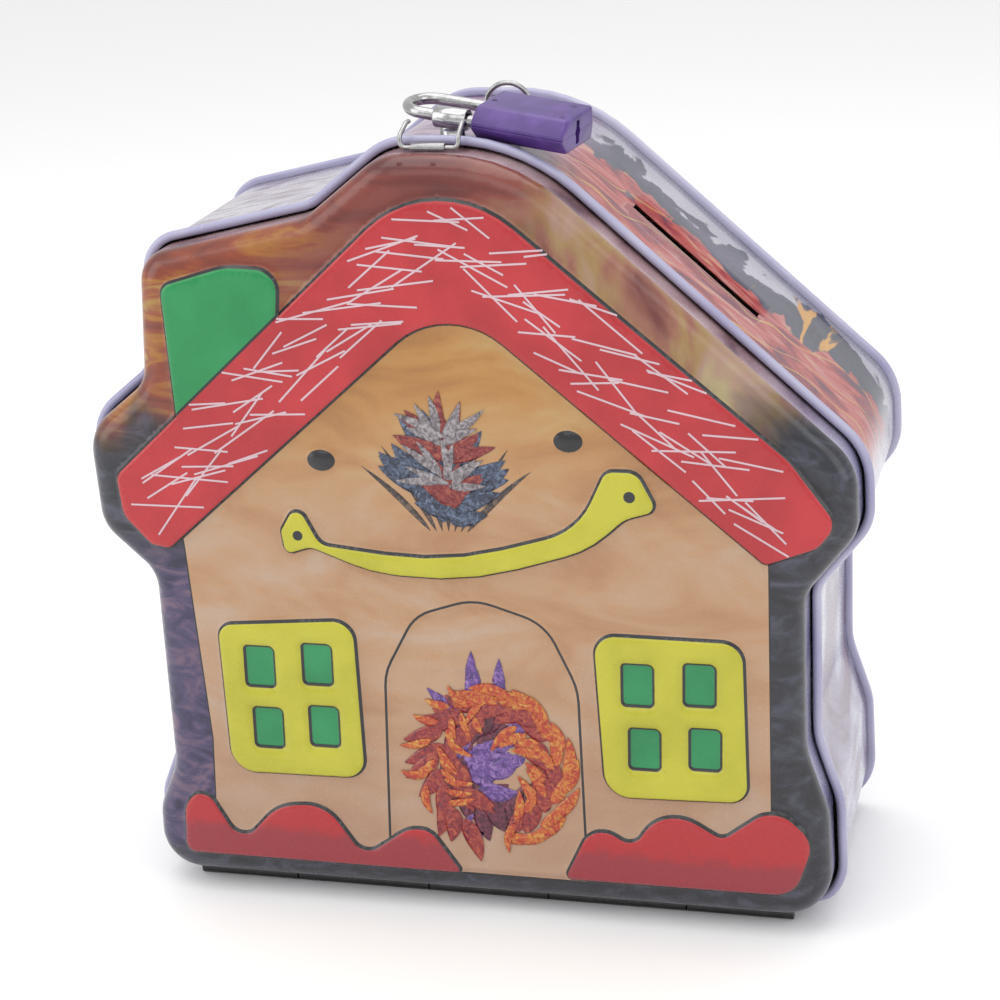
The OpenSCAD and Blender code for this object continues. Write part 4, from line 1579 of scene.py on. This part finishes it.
class MONEYBOX_OT_padlock(Operator):
    """Shackle, case and works of the small padlock"""

    bl_idname = "money_box.padlock"
    bl_label = "Padlock"

    def execute(self, context):
        # Tone below that of bare nickel: painted dark reflection.
        steel = bright_steel("Shackle nickel", 0.44, 0.08, 0.22)
        paint = lock_paint("Purple case coating")
        path = [(CASE_START + 13, 0, 0), (0, 0, 0), (-6.4, 0, 0)]
        path += [
            (-6.4 - LEG_GAP / 2 * math.sin(a), LEG_GAP / 2 * (1 - math.cos(a)), 0)
            for a in (math.pi * k / 24 for k in range(1, 24))
        ]
        path += [(-6.4, LEG_GAP, 0), (0, LEG_GAP, 0), (CASE_START + 5.2, LEG_GAP, 0)]
        shackle = wire("shackle_bow", [in_lock(*p) for p in path], 1.1, steel, 24)
        flat = self.box((CASE_START + 5, 0.55, -2), (CASE_START + 12.6, 2.5, 2))
        notch = self.box((CASE_START + 3, LEG_GAP - 2.1, -2), (CASE_START + 5.4, LEG_GAP - 0.1, 2))
        self.cut(shackle, [flat, notch])
        hand_over(shackle, "lock_shackle", "bright_steel", "shackle")
        for side, node in ((1, "case_upper"), (-1, "case_lower")):
            half = self.half(side, paint)
            hand_over(half, "lock_case", "lock_paint", node)
        dark = bright_steel("Rivet steel", 0.3, 0.2, 0.4)
        inner = bright_steel("Works steel", 0.6, 0.2, 0.36)
        from_frame("case_rivets", "case_rivet_heads", paint, "lock_case", "dark_steel")
        from_frame("stop_pin", "lock_stop_pin", dark, "lock_case", "dark_steel")
        from_frame("ward_plate", "lock_ward_plate", inner, "lock_case", "bright_steel")
        from_frame("latch_bolt", "lock_bolt_bar", inner, "lock_bolt", "bright_steel")
        from_frame("latch_spring", "lock_bolt_spring", inner, "lock_case", "bright_steel")
        from_frame("shackle_spring", "lock_shackle_spring", inner, "lock_case", "bright_steel")
        return {"FINISHED"}

    def half(self, side, paint):
        """One half of the case, with its end edges rounded and its hollows cut."""
        corners = [
            (-2.4, 0.02, 0.15), (-2.2, 0.6, 0.4), (0.2, CASE_HALF, 1.3),
            (LEG_GAP + 1.9, CASE_HALF, 0.6), (LEG_GAP + 2.4, 0.02, 0.12),
        ]
        rows = []
        end = CASE_START + CASE_LENGTH
        outline = rounded(corners, 12)
        middle = Vector((LEG_GAP / 2, 1.2))
        for x, shrink in [
            (CASE_START, 0.45), (CASE_START + 0.13, 0.18), (CASE_START + 0.4, 0),
            (end - 0.5, 0), (end - 0.16, 0.2), (end, 0.5),
        ]:
            ring = []
            for p in outline:
                d = p - middle
                q = middle + Vector((
                    d.x * (1 - shrink / 7), d.y * (1 - shrink / 2.2) if d.y > 0 else d.y,
                ))
                ring.append(in_lock(x, q.x, q.y * side))
            rows.append(ring)
        name = "padlock_case_upper" if side > 0 else "padlock_case_lower"
        obj = face_outwards(rings_mesh(name, rows, [paint]))
        self.cut(obj, self.hollows())
        with edited(obj) as shape:
            for e in shape.edges:
                e.smooth = len(e.link_faces) == 2 and e.calc_face_angle(0) < 0.5
        return obj

    def box(self, low, high):
        """A box on the padlock, between two corners."""
        (x0, y0, z0), (x1, y1, z1) = low, high
        around = ((y0, z0), (y1, z0), (y1, z1), (y0, z1))
        rows = [[in_lock(x, y, z) for y, z in around] for x in (x0, x1)]
        return face_outwards(rings_mesh("hollow", rows, []))

    def bore(self, x0, x1, y, radius):
        """A round hollow along the legs."""
        rows = []
        for x in (x0, x1):
            rows.append([
                in_lock(x, y + radius * math.cos(a), radius * math.sin(a))
                for a in (2 * math.pi * (k + 0.5) / 24 for k in range(24))
            ])
        return face_outwards(rings_mesh("hollow", rows, []))

    def hollows(self):
        """What is hollow in the case."""
        end = CASE_START + CASE_LENGTH
        middle = LEG_GAP / 2
        return [
            self.bore(CASE_START - 1, CASE_START + 15, 0, 1.2),
            self.bore(CASE_START - 1, CASE_START + 5.7, LEG_GAP, 1.2),
            self.box((CASE_START + 3, 1.9, -1.6), (CASE_START + 14, 7.1, 1.6)),
            self.box((CASE_START + 3.1, 6.1, -1.3), (CASE_START + 5.3, LEG_GAP, 1.3)),
            self.box((CASE_START + 13, middle - 0.65, -2.2), (end + 1, middle + 0.65, 2.2)),
            self.bore(CASE_START + 13, end + 1, middle, 1.0),
        ]

    def cut(self, obj, tools):
        """Takes tools out of a piece."""
        for tool in tools:
            step = obj.modifiers.new("Hollow", "BOOLEAN")
            step.operation = "DIFFERENCE"
            step.solver = "EXACT"
            step.object = tool
            apply_modifiers(obj)
            bpy.data.objects.remove(tool)


# ---------------------------------------------------------------- stage

FLOOR_REACH = 3000
# Camera: azimuth, elevation and roll in degrees, lens in millimetres, and place in metres with
# y from the bead's front plane
CAMERA_TURN = (15.5, 19.4, -3.0)
CAMERA_LENS = 87.84
CAMERA_PLACE = (0.1221, -0.4196, 0.2367)


class MONEYBOX_OT_stage(Operator):
    """Pale floor, soft lights and the camera"""

    bl_idname = "money_box.stage"
    bl_label = "Stage"

    def execute(self, context):
        scene = context.scene
        nodes = Nodes("Pale floor", roughness=0.6)
        grain = nodes.noise(nodes.place, 3, 2)
        shade = colours().floor
        darker = tuple(c * 0.995 for c in shade)
        nodes.colour(nodes.ramp(grain, [(0.3, darker), (0.7, tuple(shade))]))
        floor = mesh_object("floor", [
            (x * FLOOR_REACH, y * FLOOR_REACH, 0) for x, y in ((-1, -1), (1, -1), (1, 1), (-1, 1))
        ], [(0, 1, 2, 3)], [nodes.material])
        lamps = [
            self.lamp("top_softbox", (-0.05, 0.02, 0.75), (0, 0, 0.07), (0.9, 0.6), 2.6),
            self.lamp("left_softbox", (-0.75, -0.45, 0.42), (0, 0, 0.08), (0.5, 0.8), 1.9),
            self.lamp("right_softbox", (0.8, -0.35, 0.5), (0, 0, 0.08), (0.5, 0.8), 1.5),
            self.lamp("front_softbox", (0.0, -0.95, 0.75), (0, 0, 0.07), (1.0, 0.5), 1.5),
        ]
        world = bpy.data.worlds.new("Studio")
        scene.world = world
        world.use_nodes = True
        background = world.node_tree.nodes["Background"]
        background.inputs["Color"].default_value = (1, 1, 1, 1)
        background.inputs["Strength"].default_value = 0.9
        scene.view_settings.view_transform = "Standard"
        self.camera(scene)
        return {"FINISHED"}

    def lamp(self, name, at, aim, size, power):
        """A rectangular area light."""
        data = bpy.data.lights.new(name, "AREA")
        data.shape = "RECTANGLE"
        data.size, data.size_y = size
        data.energy = power
        obj = linked(name, data)
        obj.location = at
        obj.rotation_mode = "QUATERNION"
        obj.rotation_quaternion = (Vector(aim) - Vector(at)).to_track_quat("-Z", "Y")
        return obj

    def camera(self, scene):
        """Camera to the right of the box and above it, turned slightly."""
        azimuth, elevation, roll = (math.radians(v) for v in CAMERA_TURN)
        ahead = Vector((
            -math.sin(azimuth) * math.cos(elevation),
            math.cos(azimuth) * math.cos(elevation),
            -math.sin(elevation),
        ))
        right = Vector((math.cos(azimuth), math.sin(azimuth), 0))
        up = right.cross(ahead)
        right_turned = right * math.cos(roll) + up * math.sin(roll)
        up_turned = up * math.cos(roll) - right * math.sin(roll)
        data = bpy.data.cameras.new("camera")
        data.sensor_width = 36
        data.lens = CAMERA_LENS
        data.clip_start = 0.01
        data.clip_end = 50
        camera = linked("camera", data)
        place = Vector(CAMERA_PLACE)
        place.y += BEAD_FRONT * MM
        camera.matrix_world = Matrix((
            (right_turned.x, up_turned.x, -ahead.x, place.x),
            (right_turned.y, up_turned.y, -ahead.y, place.y),
            (right_turned.z, up_turned.z, -ahead.z, place.z),
            (0, 0, 0, 1),
        ))
        scene.camera = camera


# ---------------------------------------------------------------- add-on

class MONEYBOX_PT_panel(Panel):
    """Money box tools in the sidebar"""

    bl_idname = "MONEYBOX_PT_panel"
    bl_label = "Money box"
    bl_space_type = "VIEW_3D"
    bl_region_type = "UI"
    bl_category = "Money box"

    def draw(self, context):
        layout = self.layout
        for group in (context.scene.money_box_sizes, context.scene.money_box_colours):
            column = layout.column(align=True)
            for key in group.bl_rna.properties.keys():
                if key not in ("rna_type", "name"):
                    column.prop(group, key)
        for operator in OPERATORS:
            layout.operator(operator.bl_idname)


OPERATORS = (
    MONEYBOX_OT_band,
    MONEYBOX_OT_lid,
    MONEYBOX_OT_straws,
    MONEYBOX_OT_bouquet,
    MONEYBOX_OT_wreath,
    MONEYBOX_OT_hinge,
    MONEYBOX_OT_fittings,
    MONEYBOX_OT_padlock,
    MONEYBOX_OT_stage,
)
CLASSES = (MoneyBoxSizes, MoneyBoxColours, *OPERATORS, MONEYBOX_PT_panel)


def register():
    for cls in CLASSES:
        bpy.utils.register_class(cls)
    bpy.types.Scene.money_box_sizes = PointerProperty(type=MoneyBoxSizes)
    bpy.types.Scene.money_box_colours = PointerProperty(type=MoneyBoxColours)


def unregister():
    del bpy.types.Scene.money_box_colours
    del bpy.types.Scene.money_box_sizes
    for cls in reversed(CLASSES):
        bpy.utils.unregister_class(cls)


def main():
    """Builds the finished money box round the frame."""
    register()
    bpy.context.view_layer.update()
    for operator in OPERATORS:
        group, name = operator.bl_idname.split(".")
        getattr(getattr(bpy.ops, group), name)()


if __name__ == "__main__":
    main()
